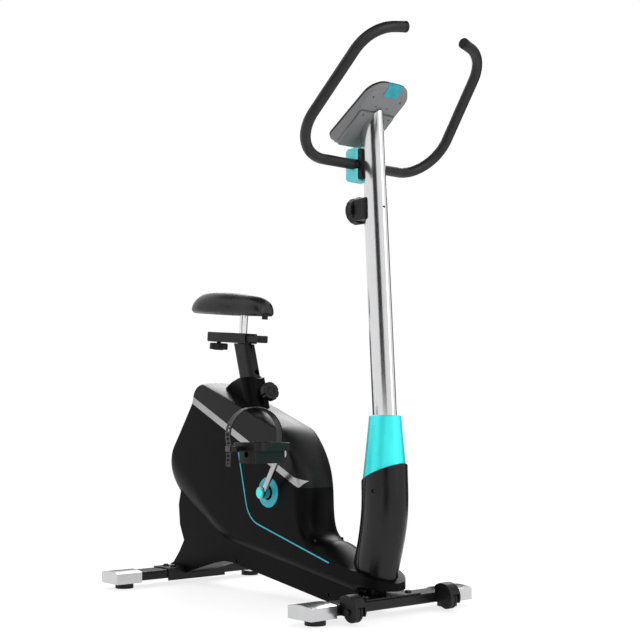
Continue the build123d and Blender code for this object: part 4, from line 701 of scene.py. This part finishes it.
floor_look.join(floor_look.shader.outputs[0], mixed.inputs[1])
floor_look.join(glow.outputs[0], mixed.inputs[2])
floor_look.join(mixed.outputs[0], floor_look.tree.nodes["Material Output"].inputs["Surface"])
floor_data.materials.append(floor_look.material)

world = bpy.data.worlds.new("studio")
scene.world = world
world.use_nodes = True
tree = world.node_tree
plain = tree.nodes["Background"]
plain.inputs["Color"].default_value = (0.78, 0.78, 0.79, 1)
plain.inputs["Strength"].default_value = 1.15
white = tree.nodes.new("ShaderNodeBackground")
white.inputs["Color"].default_value = (1, 1, 1, 1)
joined = tree.nodes.new("ShaderNodeMixShader")
tree.links.new(shows_white(tree), joined.inputs[0])
tree.links.new(plain.outputs[0], joined.inputs[1])
tree.links.new(white.outputs[0], joined.inputs[2])
tree.links.new(joined.outputs[0], tree.nodes["World Output"].inputs["Surface"])


# Dark boards outside the picture: reflections need something dark to show a form
def board(name, span, far, low, high, level):
    mesh = bmesh.new()
    rows = []
    for step in range(13):
        angle = radians(span[0] + (span[1] - span[0]) * step / 12)
        foot = (far * cos(angle), far * sin(angle))
        inner = foot if high > low else (0, 0)
        rows.append([mesh.verts.new((*foot, low)), mesh.verts.new((*inner, high))])
    for before, after in zip(rows, rows[1:]):
        mesh.faces.new((before[0], after[0], after[1], before[1]))
    data = bpy.data.meshes.new(name)
    mesh.to_mesh(data)
    mesh.free()
    made = bpy.data.objects.new(name, data)
    scene.collection.objects.link(made)
    look = Surface(name, (level, level, level), 0.9, specular=0.0)
    look.bump((look.noise(60, 2), 0.001, 0.1))
    data.materials.append(look.material)
    made.visible_camera = False
    made.visible_diffuse = False
    made.visible_shadow = False


board("side_board", (-97, -71), 3.0, 0.62, 2.6, 0.015)
board("far_board", (62, 128), 3.0, -0.4, 2.6, 0.08)
board("back_board", (112, 176), 3.2, 0.22, 0.85, 0.06)
board("low_board", (-57, -41), 1.6, 0.0, 0.45, 0.02)
board("ceiling_board", (-180, 180), 1.7, 3.2, 3.2, 0.08)


def soft_light(name, spot, aim, size, power, shows=True):
    data = bpy.data.lights.new(name, "AREA")
    data.shape = "RECTANGLE"
    data.size, data.size_y = size
    data.energy = power
    lamp = bpy.data.objects.new(name, data)
    scene.collection.objects.link(lamp)
    lamp.location = spot
    lamp.visible_camera = False
    lamp.visible_glossy = shows
    lamp.rotation_mode = "QUATERNION"
    lamp.rotation_quaternion = (Vector(aim) - Vector(spot)).to_track_quat("-Z", "Y")


soft_light("overhead", (0.0, 0.3, 3.0), (0, 0, 0.4), (2.6, 2.0), 30, shows=False)
soft_light("behind", (-1.6, 1.75, 2.3), (0, 0, 0.6), (2.2, 1.9), 60)
soft_light("ahead", (2.9, -0.2, 1.5), (0, 0, 0.6), (1.2, 1.8), 14)

camera_data = bpy.data.cameras.new("camera")
camera_data.sensor_width = 36
camera_data.lens = 70.06
camera = bpy.data.objects.new("camera", camera_data)
scene.collection.objects.link(camera)
camera.location = (2.42087, -2.04078, 0.46547)
camera.rotation_mode = "QUATERNION"
camera.rotation_quaternion = Vector((-0.7503, 0.6569, 0.0746)).to_track_quat("-Z", "Y")
scene.camera = camera
scene.view_settings.view_transform = "Standard"

bpy.context.view_layer.update()
